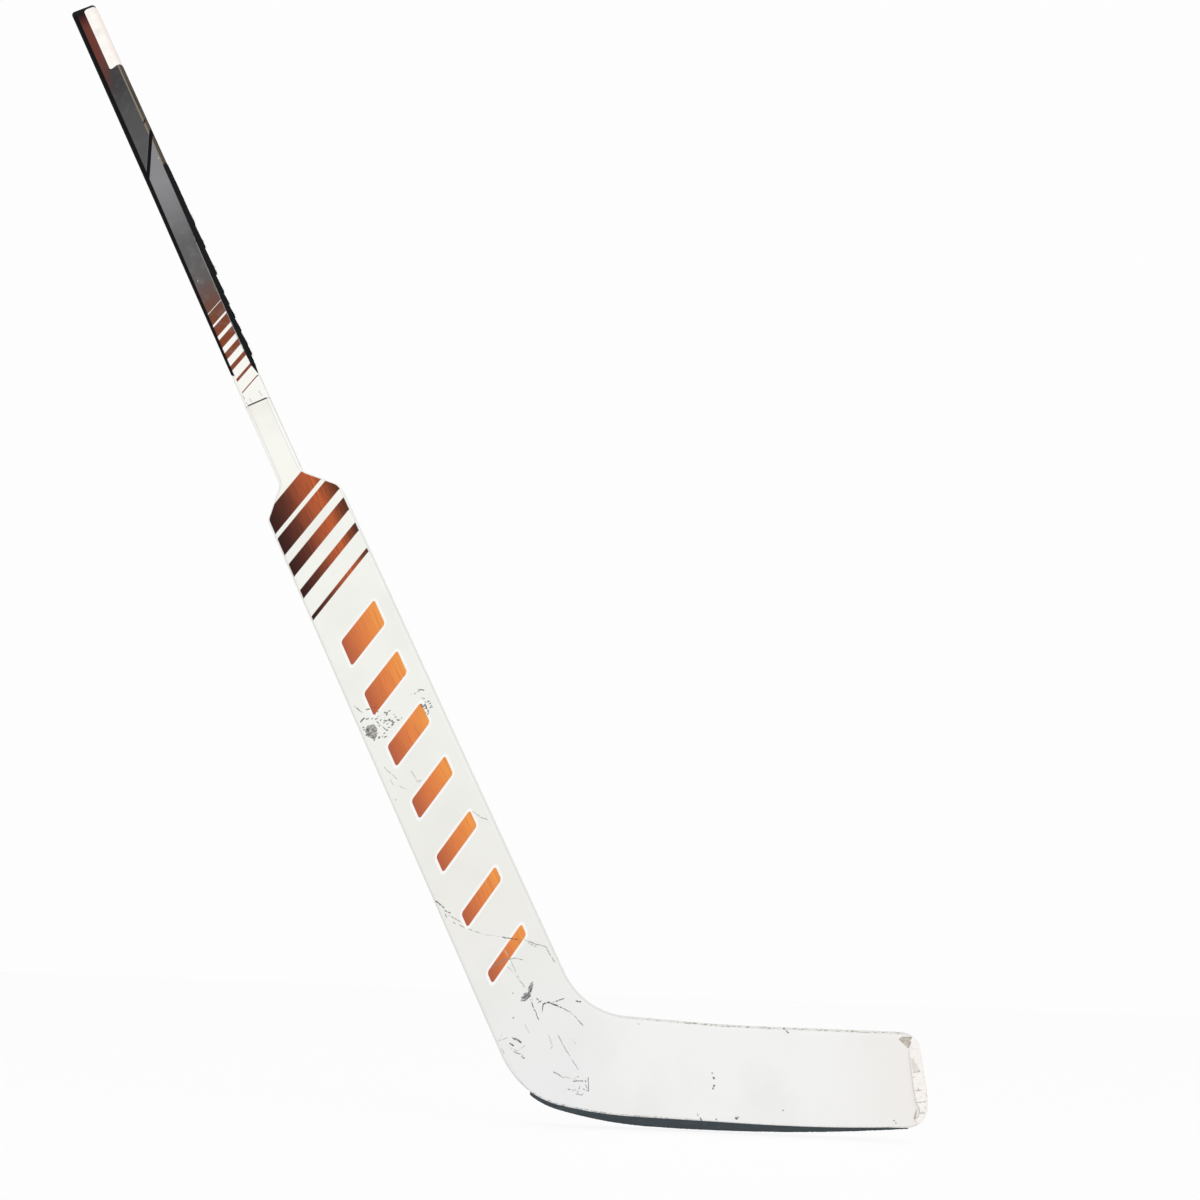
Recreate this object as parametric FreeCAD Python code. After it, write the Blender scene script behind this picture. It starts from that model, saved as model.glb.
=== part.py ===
import FreeCAD, Part
import math
import os

from FreeCAD import Vector

# Lie of the stick: the paddle and the shaft lean back from upright by this angle
lean_deg = 28.0

# Paddle, measured along the lean from the heel point on the ice. The inner shoulder and the neck's root
# on that side sit a little higher than the outer ones
paddle_length = 684.5
paddle_width = 88.0
paddle_thickness = 22.0
shoulder_rise = 33.5
shoulder_radius = 10.0
inner_shoulder_radius = 16.0
inner_side_rise = 4.0
neck_length = 103.0
neck_root_radius = 14.0
throat_radius = 75.0
heel_radius = 84.0

# Blade, measured from the heel point along the ice
blade_length = 373.5
blade_height = 88.6
blade_toe_thickness = 13.0
sole_height = 8.6
heel_corner_rise = 28.8
sole_back_rise = 3.4
sole_low_drop = 1.6
sole_toe_rise = 5.2
sole_back_radius = 430.0
sole_low_radius = 1500.0
top_dip_radius = 1500.0
throat_rise = 7.0
toe_top_setback = 5.0
toe_bottom_radius = 22.0
toe_edge_radius = 100.0
toe_top_radius = 17.0
sole_back_share = 0.18
sole_low_share = 0.745
top_dip_share = 0.49
toe_edge_share = 0.42

# Blade curve: how far the toe comes forward at the sole and at the top edge
bend_start = 60.0
toe_curve_sole = 21.0
toe_curve_top = 8.0

# Laminate, edge rails and webs
skin_thickness = 1.2
rail_width = 6.0
edge_radius = 5.0
paddle_rib_thickness = 2.5
blade_rib_thickness = 2.0
shoulder_block_length = 120.0
heel_core_rise = 150.0
blade_core_start = 95.0

# Wear strip under the sole, deeper at the back than at the front
wear_strip_start = -3.0
wear_strip_heel_drop = 3.2
wear_strip_depth = 9.7
wear_strip_front_share = 0.45
wear_strip_low_share = 0.70

# Stations of the bent rails, along the blade's top and round the toe
top_spacing = 30.0
toe_spacing = 5.0

# Toe rail, and the tape folded over its edge
toe_rail_length = 20.0
toe_tape_thickness = 0.35
toe_tape_reach = 10.0
toe_tape_setback = 13.0

# Shaft tube, as wide as the neck that it is bonded to
shaft_length = 605.0
shaft_width = 31.2
shaft_depth = 20.6
shaft_corner_radius = 4.6
shaft_wall = 1.8

# Joint between the shaft and the neck
glue_thickness = 0.8
glue_recess = 0.4
spigot_shaft_length = 70.0
spigot_neck_length = 62.0
bond_gap = 0.1

# Butt cap
cap_height = 9.0
cap_round = 3.2
cap_plug_length = 32.0
cap_round_steps = 3

# Friction strip on the right narrow side of the shaft, from the seam upwards
side_grip_start = 36.0
side_grip_length = 315.0
side_grip_thickness = 1.2
side_grip_bottom_slant = 28.0
side_grip_top_slant = 5.0
side_grip_wrap = 5.4

# Paper label, laid over the shaft and the lower edge of the cap
label_length = 98.5
label_gap = 6.0
label_thickness = 0.25
label_corner_radius = 4.5
label_front_share = 0.49
label_side_share = 0.45

# Reach of cutting tools past the faces that they cut, the tolerance for edges that lie on the outline,
# and the most that the arcs at its two ends may take of a straight run
overrun = 40.0
touch = 0.01
arcs_share = 0.98

# Directions along the lean and across the paddle
lean = math.radians(lean_deg)
along = Vector(-math.sin(lean), 0, math.cos(lean))
across = Vector(math.cos(lean), 0, math.sin(lean))
lean_turn = FreeCAD.Placement(Vector(0, 0, 0), FreeCAD.Rotation(Vector(0, 1, 0), -lean_deg))

# Levels along the lean
neck_root_level = paddle_length + shoulder_rise
seam_level = neck_root_level + neck_length
butt_level = seam_level + shaft_length
spigot_bottom_level = seam_level - spigot_neck_length
shoulder_block_level = spigot_bottom_level - shoulder_block_length
mid_line = paddle_width / 2
half_thickness = paddle_thickness / 2
blade_top = sole_height + blade_height
blade_mid = sole_height + blade_height / 2


def on_paddle(level, offset):
    return along * level + across * offset


def on_blade(reach, height):
    return Vector(reach, 0, height)


def direction(start, end):
    return (end - start).multiply(1 / (end - start).Length)


# Closed outline through corner points, each rounded with its own tangent arc. Where two arcs would
# need more than the straight run between them, both are made smaller alike
def rounded_wire(corners):
    count = len(corners)
    runs = [(corners[(index + 1) % count][0] - corners[index][0]).Length for index in range(count)]
    half_angles = []
    tangents = []
    for index, (point, radius) in enumerate(corners):
        before = corners[index - 1][0] - point
        after = corners[(index + 1) % count][0] - point
        half_angles.append(before.getAngle(after) / 2)
        tangents.append(radius / math.tan(half_angles[index]))
    arc_ends = []
    for index, (point, radius) in enumerate(corners):
        before = direction(point, corners[index - 1][0])
        after = direction(point, corners[(index + 1) % count][0])
        taken_before = (tangents[index - 1] + tangents[index]) / runs[index - 1]
        taken_after = (tangents[index] + tangents[(index + 1) % count]) / runs[index]
        tangent = tangents[index] / max(1, taken_before / arcs_share, taken_after / arcs_share)
        inward = direction(Vector(0, 0, 0), before + after)
        gap = tangent / math.cos(half_angles[index]) - tangent * math.tan(half_angles[index])
        arc_ends.append((point + before * tangent, point + inward * gap, point + after * tangent))
    edges = []
    for index, (start, crown, end) in enumerate(arc_ends):
        if corners[index][1] > 0:
            edges.append(Part.Arc(start, crown, end).toShape())
        edges.append(Part.LineSegment(end, arc_ends[(index + 1) % count][0]).toShape())
    return Part.Wire(edges)


# Face outline of neck, paddle, heel and blade, with the sole let down by the depth of a wear strip
def body_outline(strip_depth=0.0):
    strip_share = strip_depth / wear_strip_depth
    heel_level = heel_corner_rise - wear_strip_heel_drop * strip_share
    low_reach = sole_low_share + (wear_strip_low_share - sole_low_share) * strip_share
    neck_end = seam_level + overrun
    neck_outer = mid_line - shaft_width / 2
    neck_inner = mid_line + shaft_width / 2
    throat_height = blade_top + throat_rise
    throat_level = (throat_height - paddle_width * math.sin(lean)) / math.cos(lean)
    toe_edge_height = sole_height + blade_height * toe_edge_share
    sole_back = on_blade(blade_length * sole_back_share, sole_height + sole_back_rise - strip_depth)
    sole_low = on_blade(blade_length * low_reach, sole_height - sole_low_drop - strip_depth)
    corners = [
        (on_paddle(neck_end, neck_outer), 0),
        (on_paddle(neck_root_level, neck_outer), neck_root_radius),
        (on_paddle(paddle_length, 0), shoulder_radius),
        (on_paddle(heel_level, 0), heel_radius),
        (sole_back, sole_back_radius),
        (sole_low, sole_low_radius),
        (on_blade(blade_length, sole_height + sole_toe_rise), toe_bottom_radius),
        (on_blade(blade_length, toe_edge_height), toe_edge_radius),
        (on_blade(blade_length - toe_top_setback, blade_top), toe_top_radius),
        (on_blade(blade_length * top_dip_share, blade_top), top_dip_radius),
        (on_paddle(throat_level, paddle_width), throat_radius),
        (on_paddle(paddle_length + inner_side_rise, paddle_width), inner_shoulder_radius),
        (on_paddle(neck_root_level + inner_side_rise, neck_inner), neck_root_radius),
        (on_paddle(neck_end, neck_inner), 0),
    ]
    return rounded_wire(corners)


# Block that reaches through the whole thickness of the stick behind a face outline
reach_depth = paddle_thickness + toe_curve_sole + overrun


def through(wire):
    face = Part.Face(wire)
    face.translate(Vector(0, -reach_depth, 0))
    return face.extrude(Vector(0, 2 * reach_depth, 0))


# How far the toe comes forward at a height, in line from the sole to the top edge
def toe_curve(height):
    share = (height - sole_height) / blade_height
    return toe_curve_sole + (toe_curve_top - toe_curve_sole) * share


# Edge that leaves the paddle's plane at a tangent and carries on past the toe
def bend_edge(depth_at_paddle, depth_at_toe, height):
    run = blade_length - bend_start
    past_toe = (run + overrun) / run
    shift = (depth_at_toe - depth_at_paddle - toe_curve(height)) * past_toe ** 2
    end = bend_start + run * past_toe
    poles = [
        Vector(bend_start, depth_at_paddle, height),
        Vector((bend_start + end) / 2, depth_at_paddle, height),
        Vector(end, depth_at_paddle + shift, height),
    ]
    curve = Part.BezierCurve()
    curve.setPoles(poles)
    return curve.toShape()


# Layer of the stick between two depths, given where the paddle is and where the toe is: flat in the
# paddle, then bent forward and opened along the blade
def layer(front, back):
    low = -overrun
    high = blade_top + throat_radius + overrun
    flat_start = on_paddle(butt_level, 0).x - overrun
    flat = Part.makeBox(
        bend_start - flat_start, back[0] - front[0], butt_level + overrun,
        Vector(flat_start, front[0], low))
    front_low = bend_edge(*front, low)
    front_high = bend_edge(*front, high)
    back_low = bend_edge(*back, low)
    back_high = bend_edge(*back, high)
    walls = [
        Part.makeRuledSurface(front_low, front_high),
        Part.makeRuledSurface(back_low, back_high),
        Part.makeRuledSurface(front_low, back_low),
        Part.makeRuledSurface(front_high, back_high),
    ]
    for end in (0, -1):
        corners = [edge.Vertexes[end].Point for edge in (front_low, front_high, back_high, back_low)]
        walls.append(Part.Face(Part.makePolygon(corners + corners[:1])))
    shell = Part.makeShell(walls)
    shell.sewShape()
    bent = Part.makeSolid(shell)
    if bent.Volume < 0:
        bent.reverse()
    return flat, bent


front_face = (-half_thickness, -half_thickness)
back_face = (half_thickness, -half_thickness + blade_toe_thickness)
front_core = (front_face[0] + skin_thickness, front_face[1] + skin_thickness)
back_core = (back_face[0] - skin_thickness, back_face[1] - skin_thickness)


# The part of a tool that lies in a layer, as one solid
def in_layer(tool, layer_halves):
    flat, bent = layer_halves
    return tool.common(flat).fuse(tool.common(bent)).removeSplitter()


# Half spaces that cut the stick into its pieces
def level_slab(bottom, top):
    block = Part.makeBox(
        2 * butt_level, 2 * reach_depth, top - bottom, Vector(-butt_level, -reach_depth, bottom))
    block.Placement = lean_turn
    return block


def side_slab(start, end):
    block = Part.makeBox(
        end - start, 2 * reach_depth, 2 * butt_level, Vector(start, -reach_depth, -butt_level))
    block.Placement = lean_turn
    return block


def blade_slab(start, end, bottom, top):
    return Part.makeBox(end - start, 2 * reach_depth, top - bottom, Vector(start, -reach_depth, bottom))


far = 2 * butt_level
below_seam = level_slab(-far, seam_level)
whole_layer = layer(front_face, back_face)
core_layer = layer(front_core, back_core)
outline = body_outline()
outline_face = Part.Face(outline)
inner_wire = outline_face.makeOffset2D(-rail_width).OuterWire
body_block = through(outline).common(below_seam)
inner_block = through(inner_wire).common(below_seam)
rail_ring = in_layer(body_block.cut(inner_block), whole_layer)


# Edges of a rail that run along the outline on the front and back faces
def outer_edges(rail):
    found = []
    for edge in rail.Edges:
        middle = edge.valueAt((edge.FirstParameter + edge.LastParameter) / 2)
        in_plane = Part.Vertex(middle.x, 0, middle.z)
        runs_along = edge.BoundBox.YLength < blade_toe_thickness / 2
        if runs_along and in_plane.distToShape(outline)[0] < touch:
            found.append(edge)
    return found


# Rails in the flat of the paddle, with their outer edges rounded
def rounded_rail(region):
    rail = rail_ring.common(region)
    return rail.makeFillet(edge_radius, outer_edges(rail)).Solids[0]


# Depth of the front and back faces at a point of the outline's plane
def face_depths(point):
    run = max(0, point.x - bend_start) / (blade_length - bend_start)
    depths = []
    for at_paddle, at_toe in (front_face, back_face):
        depths.append(at_paddle + (at_toe - at_paddle - toe_curve(point.z)) * run ** 2)
    return depths


# Corners of a section across the rim, from the front face round the edge to the back face
def rim_corners(point, inward, reach, margin):
    inner = point + inward * reach
    outer = point - inward * margin
    inner_front, inner_back = face_depths(inner)
    outer_front, outer_back = face_depths(outer)
    return [
        (Vector(inner.x, inner_front - margin, inner.z), 0),
        (Vector(outer.x, outer_front - margin, outer.z), edge_radius + margin),
        (Vector(outer.x, outer_back + margin, outer.z), edge_radius + margin),
        (Vector(inner.x, inner_back + margin, inner.z), 0),
    ]


# Stations along the outline within a region, each a point and the direction into the face
def rim_stations(region, spacing):
    edges = Part.sortEdges(outline.common(region).Edges)[0]
    path = Part.Wire(edges)
    points = path.discretize(Number=math.ceil(path.Length / spacing) + 1)
    stations = []
    for index, point in enumerate(points):
        before = points[max(0, index - 1)]
        after = points[min(len(points) - 1, index + 1)]
        inward = direction(before, after).cross(Vector(0, 1, 0))
        if not outline_face.isInside(point + inward * rail_width, touch, True):
            inward = inward * -1
        stations.append((point, inward))
    return stations


# Rails in the bent blade: rounded sections ruled from station to station, less what lies inside the rails
def bent_rail(start, end, bottom, spacing):
    reach = rail_width + skin_thickness
    stations = rim_stations(blade_slab(start - reach, end + reach, bottom, far), spacing)
    sections = [rounded_wire(rim_corners(point, inward, reach, 0)) for point, inward in stations]
    rim = Part.makeLoft(sections, True, True).common(blade_slab(start, end, bottom, far))
    return rim.cut(through(inner_wire)).Solids[0]


# Skins
def front_skin():
    return in_layer(inner_block, layer(front_face, front_core))


def back_skin():
    return in_layer(inner_block, layer(back_core, back_face))


# Edge rails, split where the wear strip starts, at the end of the throat and at the toe
toe_rail_start = blade_length - toe_rail_length


def paddle_rail_outer():
    region = side_slab(-far, mid_line).common(blade_slab(-far, wear_strip_start, -far, far))
    return rounded_rail(region)


def paddle_rail_inner():
    region = side_slab(mid_line, far).common(blade_slab(-far, blade_core_start, blade_mid, far))
    return rounded_rail(region)


def blade_top_rail():
    return bent_rail(blade_core_start, toe_rail_start, blade_mid, top_spacing)


def toe_rail():
    return bent_rail(toe_rail_start, blade_length + overrun, -far, toe_spacing)


def blade_bottom_rail():
    return rail_ring.common(blade_slab(wear_strip_start, toe_rail_start, -far, blade_mid)).Solids[0]


# Wear strip: the room between the sole and a deeper outline, deeper at the back
def wear_strip():
    front_wire = body_outline(wear_strip_depth * wear_strip_front_share)
    back_wire = body_outline(wear_strip_depth)
    front_wire.translate(Vector(0, -half_thickness - toe_curve_sole, 0))
    back_wire.translate(Vector(0, half_thickness, 0))
    deeper = Part.makeLoft([front_wire, back_wire], True, True)
    room = deeper.cut(through(outline)).common(
        blade_slab(wear_strip_start, toe_rail_start, -far, blade_mid))
    return in_layer(room, whole_layer).Solids[0]


# Cores and webs inside the rails and skins
core = in_layer(inner_block, core_layer)
heel_top = level_slab(-far, heel_core_rise)
paddle_range = level_slab(heel_core_rise, shoulder_block_level)
blade_range = blade_slab(blade_core_start, far, -far, far).common(heel_top)
rib_start = mid_line - paddle_rib_thickness / 2
rib_end = mid_line + paddle_rib_thickness / 2
web_bottom = blade_mid - blade_rib_thickness / 2
web_top = blade_mid + blade_rib_thickness / 2


def shoulder_block():
    return core.common(level_slab(shoulder_block_level, spigot_bottom_level))


def paddle_core_outer():
    return core.common(paddle_range).common(side_slab(-far, rib_start))


def paddle_rib():
    return core.common(paddle_range).common(side_slab(rib_start, rib_end))


def paddle_core_inner():
    return core.common(paddle_range).common(side_slab(rib_end, far))


def heel_core():
    return core.common(heel_top).common(blade_slab(-far, blade_core_start, -far, far))


def blade_core_lower():
    return core.common(blade_range).common(blade_slab(-far, far, -far, web_bottom))


def blade_rib():
    return core.common(blade_range).common(blade_slab(-far, far, web_bottom, web_top))


def blade_core_upper():
    return core.common(blade_range).common(blade_slab(-far, far, web_top, far))


# Tape over the toe: a thin channel that follows the toe's edge from station to station
def toe_tape():
    region = blade_slab(blade_length - toe_tape_setback, blade_length + overrun, -far, far)
    sections = []
    for point, inward in rim_stations(region, toe_spacing):
        outside = rim_corners(point, inward, toe_tape_reach, bond_gap + toe_tape_thickness)
        inside = rim_corners(point, inward, toe_tape_reach, bond_gap)
        sections.append(rounded_wire(outside + inside[::-1]))
    return Part.makeLoft(sections, True, True)


# The shaft's section at a level, grown or shrunk all round by a margin, and a bar of that section
def shaft_section(level, margin):
    half_width = shaft_width / 2 + margin
    half_depth = shaft_depth / 2 + margin
    radius = shaft_corner_radius + margin
    corners = []
    for side_x, side_y in ((-1, -1), (1, -1), (1, 1), (-1, 1)):
        corners.append((Vector(mid_line + side_x * half_width, side_y * half_depth, level), radius))
    return rounded_wire(corners)


def shaft_bar(bottom, top, margin):
    return Part.Face(shaft_section(bottom, margin)).extrude(Vector(0, 0, top - bottom))


tube_bottom = seam_level + glue_thickness
tube_top = butt_level - cap_height


def shaft_tube():
    tube = shaft_bar(tube_bottom, tube_top, 0)
    return tube.cut(shaft_bar(tube_bottom - overrun, tube_top + overrun, -shaft_wall))


def joint_glue_line():
    ring = shaft_bar(seam_level, tube_bottom, -glue_recess)
    return ring.cut(shaft_bar(seam_level - overrun, tube_bottom + overrun, -shaft_wall - bond_gap))


# Spigot: fills the neck's hollow below the seam and the shaft's bore above it
def joint_spigot():
    in_neck = core.common(level_slab(spigot_bottom_level, seam_level))
    in_neck.Placement = lean_turn.inverse().multiply(in_neck.Placement)
    in_shaft = shaft_bar(seam_level, seam_level + spigot_shaft_length, -shaft_wall - bond_gap)
    return in_neck.fuse(in_shaft).removeSplitter()


# Butt cap: a head that rounds off in steps of a quarter circle, and a plug in the shaft's bore
def butt_cap():
    sections = [shaft_section(tube_top, 0)]
    for step in range(cap_round_steps + 1):
        turn = math.pi / 2 * step / cap_round_steps
        drop = cap_round * (1 - math.sin(turn))
        draw_in = cap_round * (1 - math.cos(turn))
        sections.append(shaft_section(butt_level - drop, -draw_in))
    head = Part.makeLoft(sections, True, True)
    plug = shaft_bar(tube_top - cap_plug_length, tube_top, -shaft_wall - bond_gap)
    return head.fuse(plug).removeSplitter()


# Friction strip: hugs the right narrow side and its two corners, with slanted ends
def side_grip():
    bottom = seam_level + side_grip_start
    top = bottom + side_grip_length
    sleeve = shaft_bar(bottom, top, side_grip_thickness).cut(shaft_bar(bottom, top, 0))
    inner_side = mid_line + shaft_width / 2 - side_grip_wrap
    outer_side = mid_line + shaft_width / 2 + side_grip_thickness
    reach = shaft_depth / 2 + side_grip_thickness
    ends = [
        Vector(inner_side, -reach - touch, bottom + side_grip_bottom_slant),
        Vector(outer_side + touch, -reach - touch, bottom),
        Vector(outer_side + touch, -reach - touch, top),
        Vector(inner_side, -reach - touch, top - side_grip_top_slant),
    ]
    patch = Part.Face(Part.makePolygon(ends + ends[:1]))
    return sleeve.common(patch.extrude(Vector(0, 2 * (reach + touch), 0)))


# Paper label: from inside the front face over the right front corner, with one rounded corner
def shaft_label():
    top = butt_level - label_gap
    bottom = top - label_length
    sleeve = shaft_bar(bottom, top, label_thickness).cut(shaft_bar(bottom, top, 0))
    front_width = shaft_width * label_front_share
    side_depth = shaft_depth * label_side_share
    left = mid_line + shaft_width / 2 - front_width
    start = Vector(left, -shaft_depth / 2 - overrun, bottom)
    patch = Part.makeBox(front_width + overrun, overrun + side_depth, label_length, start)
    left_edges = [edge for edge in patch.Edges if edge.BoundBox.XMax < left + touch]
    corner = [edge for edge in left_edges if edge.BoundBox.ZMax < bottom + touch]
    return sleeve.common(patch.makeFillet(label_corner_radius, corner))


shaft_pieces = {
    "shaft_tube": shaft_tube,
    "joint_glue_line": joint_glue_line,
    "joint_spigot": joint_spigot,
    "butt_cap": butt_cap,
    "side_grip": side_grip,
    "shaft_label": shaft_label,
}
moulded_pieces = {
    "front_skin": front_skin,
    "back_skin": back_skin,
    "paddle_rail_outer": paddle_rail_outer,
    "paddle_rail_inner": paddle_rail_inner,
    "blade_top_rail": blade_top_rail,
    "toe_rail": toe_rail,
    "blade_bottom_rail": blade_bottom_rail,
    "wear_strip": wear_strip,
    "toe_tape": toe_tape,
    "shoulder_block": shoulder_block,
    "paddle_rib": paddle_rib,
    "paddle_core_outer": paddle_core_outer,
    "paddle_core_inner": paddle_core_inner,
    "heel_core": heel_core,
    "blade_rib": blade_rib,
    "blade_core_upper": blade_core_upper,
    "blade_core_lower": blade_core_lower,
}

os.makedirs("parts", exist_ok=True)
for node, make in moulded_pieces.items():
    make().exportStep("parts/" + node + ".step")
for node, make in shaft_pieces.items():
    shape = make()
    shape.Placement = lean_turn.multiply(shape.Placement)
    shape.exportStep("parts/" + node + ".step")
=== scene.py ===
import math
from types import SimpleNamespace

import bmesh
import bpy
from mathutils import Matrix, Vector, noise


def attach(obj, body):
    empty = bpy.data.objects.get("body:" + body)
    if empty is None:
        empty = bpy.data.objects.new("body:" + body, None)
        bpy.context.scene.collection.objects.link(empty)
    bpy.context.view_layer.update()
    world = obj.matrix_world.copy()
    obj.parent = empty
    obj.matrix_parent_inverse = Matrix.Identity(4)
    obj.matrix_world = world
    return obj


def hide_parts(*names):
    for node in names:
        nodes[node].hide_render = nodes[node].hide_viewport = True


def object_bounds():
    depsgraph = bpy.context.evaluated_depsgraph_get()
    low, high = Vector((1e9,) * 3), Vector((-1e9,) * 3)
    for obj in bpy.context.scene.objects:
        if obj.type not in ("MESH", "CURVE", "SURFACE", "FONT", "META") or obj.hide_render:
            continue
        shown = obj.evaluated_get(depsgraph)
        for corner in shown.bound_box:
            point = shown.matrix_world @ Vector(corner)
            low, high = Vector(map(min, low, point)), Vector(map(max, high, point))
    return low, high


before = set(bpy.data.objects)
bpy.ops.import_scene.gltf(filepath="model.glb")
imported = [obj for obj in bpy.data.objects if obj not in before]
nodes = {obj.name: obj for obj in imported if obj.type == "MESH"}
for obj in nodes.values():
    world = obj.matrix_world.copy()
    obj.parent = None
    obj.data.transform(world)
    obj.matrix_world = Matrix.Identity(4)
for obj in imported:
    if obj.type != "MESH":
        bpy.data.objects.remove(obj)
cadBox = [list(corner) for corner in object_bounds()]
scene = bpy.context.scene

# All sizes below are in millimetres of the CAD frame. Levels run up the stick from the heel point,
# offsets run across it from the outer (left) edge, x and z are the plain frame axes of the blade.
millimetre = 0.001
stick = {"lean": 28.0, "midLine": 44.0, "paddleHalfThickness": 11.0, "seamLevel": 821.0}
leanTurn = Matrix.Rotation(math.radians(stick["lean"]), 2)
alongStick = leanTurn @ Vector((0, 1))
acrossStick = leanTurn @ Vector((1, 0))


def onStick(level, offset):
    return alongStick * level + acrossStick * offset


def stickPoint(offset, depth, level):
    flat = onStick(level, offset)
    return Vector((flat.x, depth, flat.y)) * millimetre


def smoothShare(value, start, end):
    share = min(max((value - start) / (end - start), 0), 1)
    return share * share * (3 - 2 * share)


# Noise for shapes: bumps of a size in millimetres, and each seed reads another stretch of it
def unevenness(x, y, z, size, seed):
    seedStep = 17.3
    return noise.noise(Vector((x / size + seed * seedStep, y / size, z / size)))


# Height that follows (place, height) stops
def heightAlong(stops, place):
    for (low, lowHeight), (high, highHeight) in zip(stops, stops[1:]):
        if place <= high:
            return lowHeight + (highHeight - lowHeight) * max(0.0, (place - low) / (high - low))
    return stops[-1][1]


# Colours are sRGB hex and become linear here
def hexColour(code):
    channels = [int(code[start:start + 2], 16) / 255 for start in (1, 3, 5)]
    linear = [c / 12.92 if c <= 0.04045 else ((c + 0.055) / 1.055) ** 2.4 for c in channels]
    return (*linear, 1.0)


def pickSocket(sockets, key):
    if isinstance(key, int):
        return sockets[key]
    return next(socket for socket in sockets if socket.enabled and socket.name == key)


# Adds one node with its settings and links; an input may be a node, a socket or a plain value
def addNode(tree, kind, settings=None, inputs=None):
    node = tree.nodes.new(kind)
    for name, value in (settings or {}).items():
        setattr(node, name, value)
    for key, value in (inputs or {}).items():
        socket = pickSocket(node.inputs, key)
        if isinstance(value, bpy.types.Node):
            value = next(output for output in value.outputs if output.enabled)
        if isinstance(value, bpy.types.NodeSocket):
            tree.links.new(value, socket)
        else:
            socket.default_value = value
    return node


# A node group with its input names by type, one output, and the sockets that it is given
def newGroup(name, kind, inputs, outputType, output):
    tree = bpy.data.node_groups.new(name, kind)
    for socketType, socketNames in inputs.items():
        for socketName in socketNames:
            tree.interface.new_socket(socketName, in_out="INPUT", socket_type="NodeSocket" + socketType)
    tree.interface.new_socket(output, in_out="OUTPUT", socket_type="NodeSocket" + outputType)
    return tree, addNode(tree, "NodeGroupInput").outputs


# Ends a geometry tree: real geometry with its material
def endTree(tree, geometry, material, output):
    real = addNode(tree, "GeometryNodeRealizeInstances", None, {"Geometry": geometry})
    finished = addNode(tree, "GeometryNodeSetMaterial", None, {"Geometry": real, "Material": material})
    addNode(tree, "NodeGroupOutput", None, {output: finished})
    return tree


def newMaterial(name, settings):
    material = bpy.data.materials.new(name)
    material.use_nodes = True
    tree = material.node_tree
    shader = tree.nodes["Principled BSDF"]
    for socket, value in settings.items():
        shader.inputs[socket].default_value = value
    return material, tree, shader


# A finish for a CAD node that stays, or that a piece stands for
def finishNode(name, material):
    nodes[name].data.materials.clear()
    nodes[name].data.materials.append(material)


def finishPiece(name, mesh, material, replaced, sharpAngle=40):
    mesh.materials.clear()
    mesh.materials.append(material)
    mesh.shade_smooth()
    mesh.set_sharp_from_angle(angle=math.radians(sharpAngle))
    piece = bpy.data.objects.new(name, mesh)
    scene.collection.objects.link(piece)
    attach(piece, "root")
    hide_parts(*replaced)
    for node in replaced:
        finishNode(node, material)
    return piece


# A closed mesh with its faces turned outwards; points nearer than the merge distance become one
def outwardMesh(name, points, faces, mergeDistance=0.0):
    mesh = bpy.data.meshes.new(name)
    mesh.from_pydata(points, [], faces)
    shell = bmesh.new()
    shell.from_mesh(mesh)
    if mergeDistance:
        bmesh.ops.remove_doubles(shell, verts=shell.verts, dist=mergeDistance * millimetre)
    bmesh.ops.recalc_face_normals(shell, faces=shell.faces)
    shell.to_mesh(mesh)
    shell.free()
    return mesh


# A closed bar through rings of points, one after the other
def ringStack(name, rings):
    count = len(rings[0])
    points = [point for ring in rings for point in ring]
    faces = [tuple(range(count))[::-1], tuple(range(len(points) - count, len(points)))]
    for row in range(len(rings) - 1):
        for column in range(count):
            after = (column + 1) % count
            faces.append((row * count + column, row * count + after,
                          (row + 1) * count + after, (row + 1) * count + column))
    return outwardMesh(name, points, faces)


# A thin closed sheet from rows of point pairs, one on its outer face and one on its inner face
def sheetMesh(name, rows):
    rowCount, columnCount = len(rows), len(rows[0])
    points = [pair[layer] for layer in (0, 1) for row in rows for pair in row]
    layerSize = rowCount * columnCount
    faces = []
    for row in range(rowCount - 1):
        for column in range(columnCount - 1):
            corner = row * columnCount + column
            quad = (corner, corner + 1, corner + columnCount + 1, corner + columnCount)
            faces.append(quad)
            faces.append(tuple(index + layerSize for index in reversed(quad)))
    rim = [(0, column) for column in range(columnCount)]
    rim += [(row, columnCount - 1) for row in range(1, rowCount)]
    rim += [(rowCount - 1, column) for column in range(columnCount - 2, -1, -1)]
    rim += [(row, 0) for row in range(rowCount - 2, 0, -1)]
    rim = [row * columnCount + column for row, column in rim]
    for here, there in zip(rim, rim[1:] + rim[:1]):
        faces.append((here, here + layerSize, there + layerSize, there))
    return outwardMesh(name, points, faces, mergeDistance=0.002)


print("stage: frame loaded")

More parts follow.
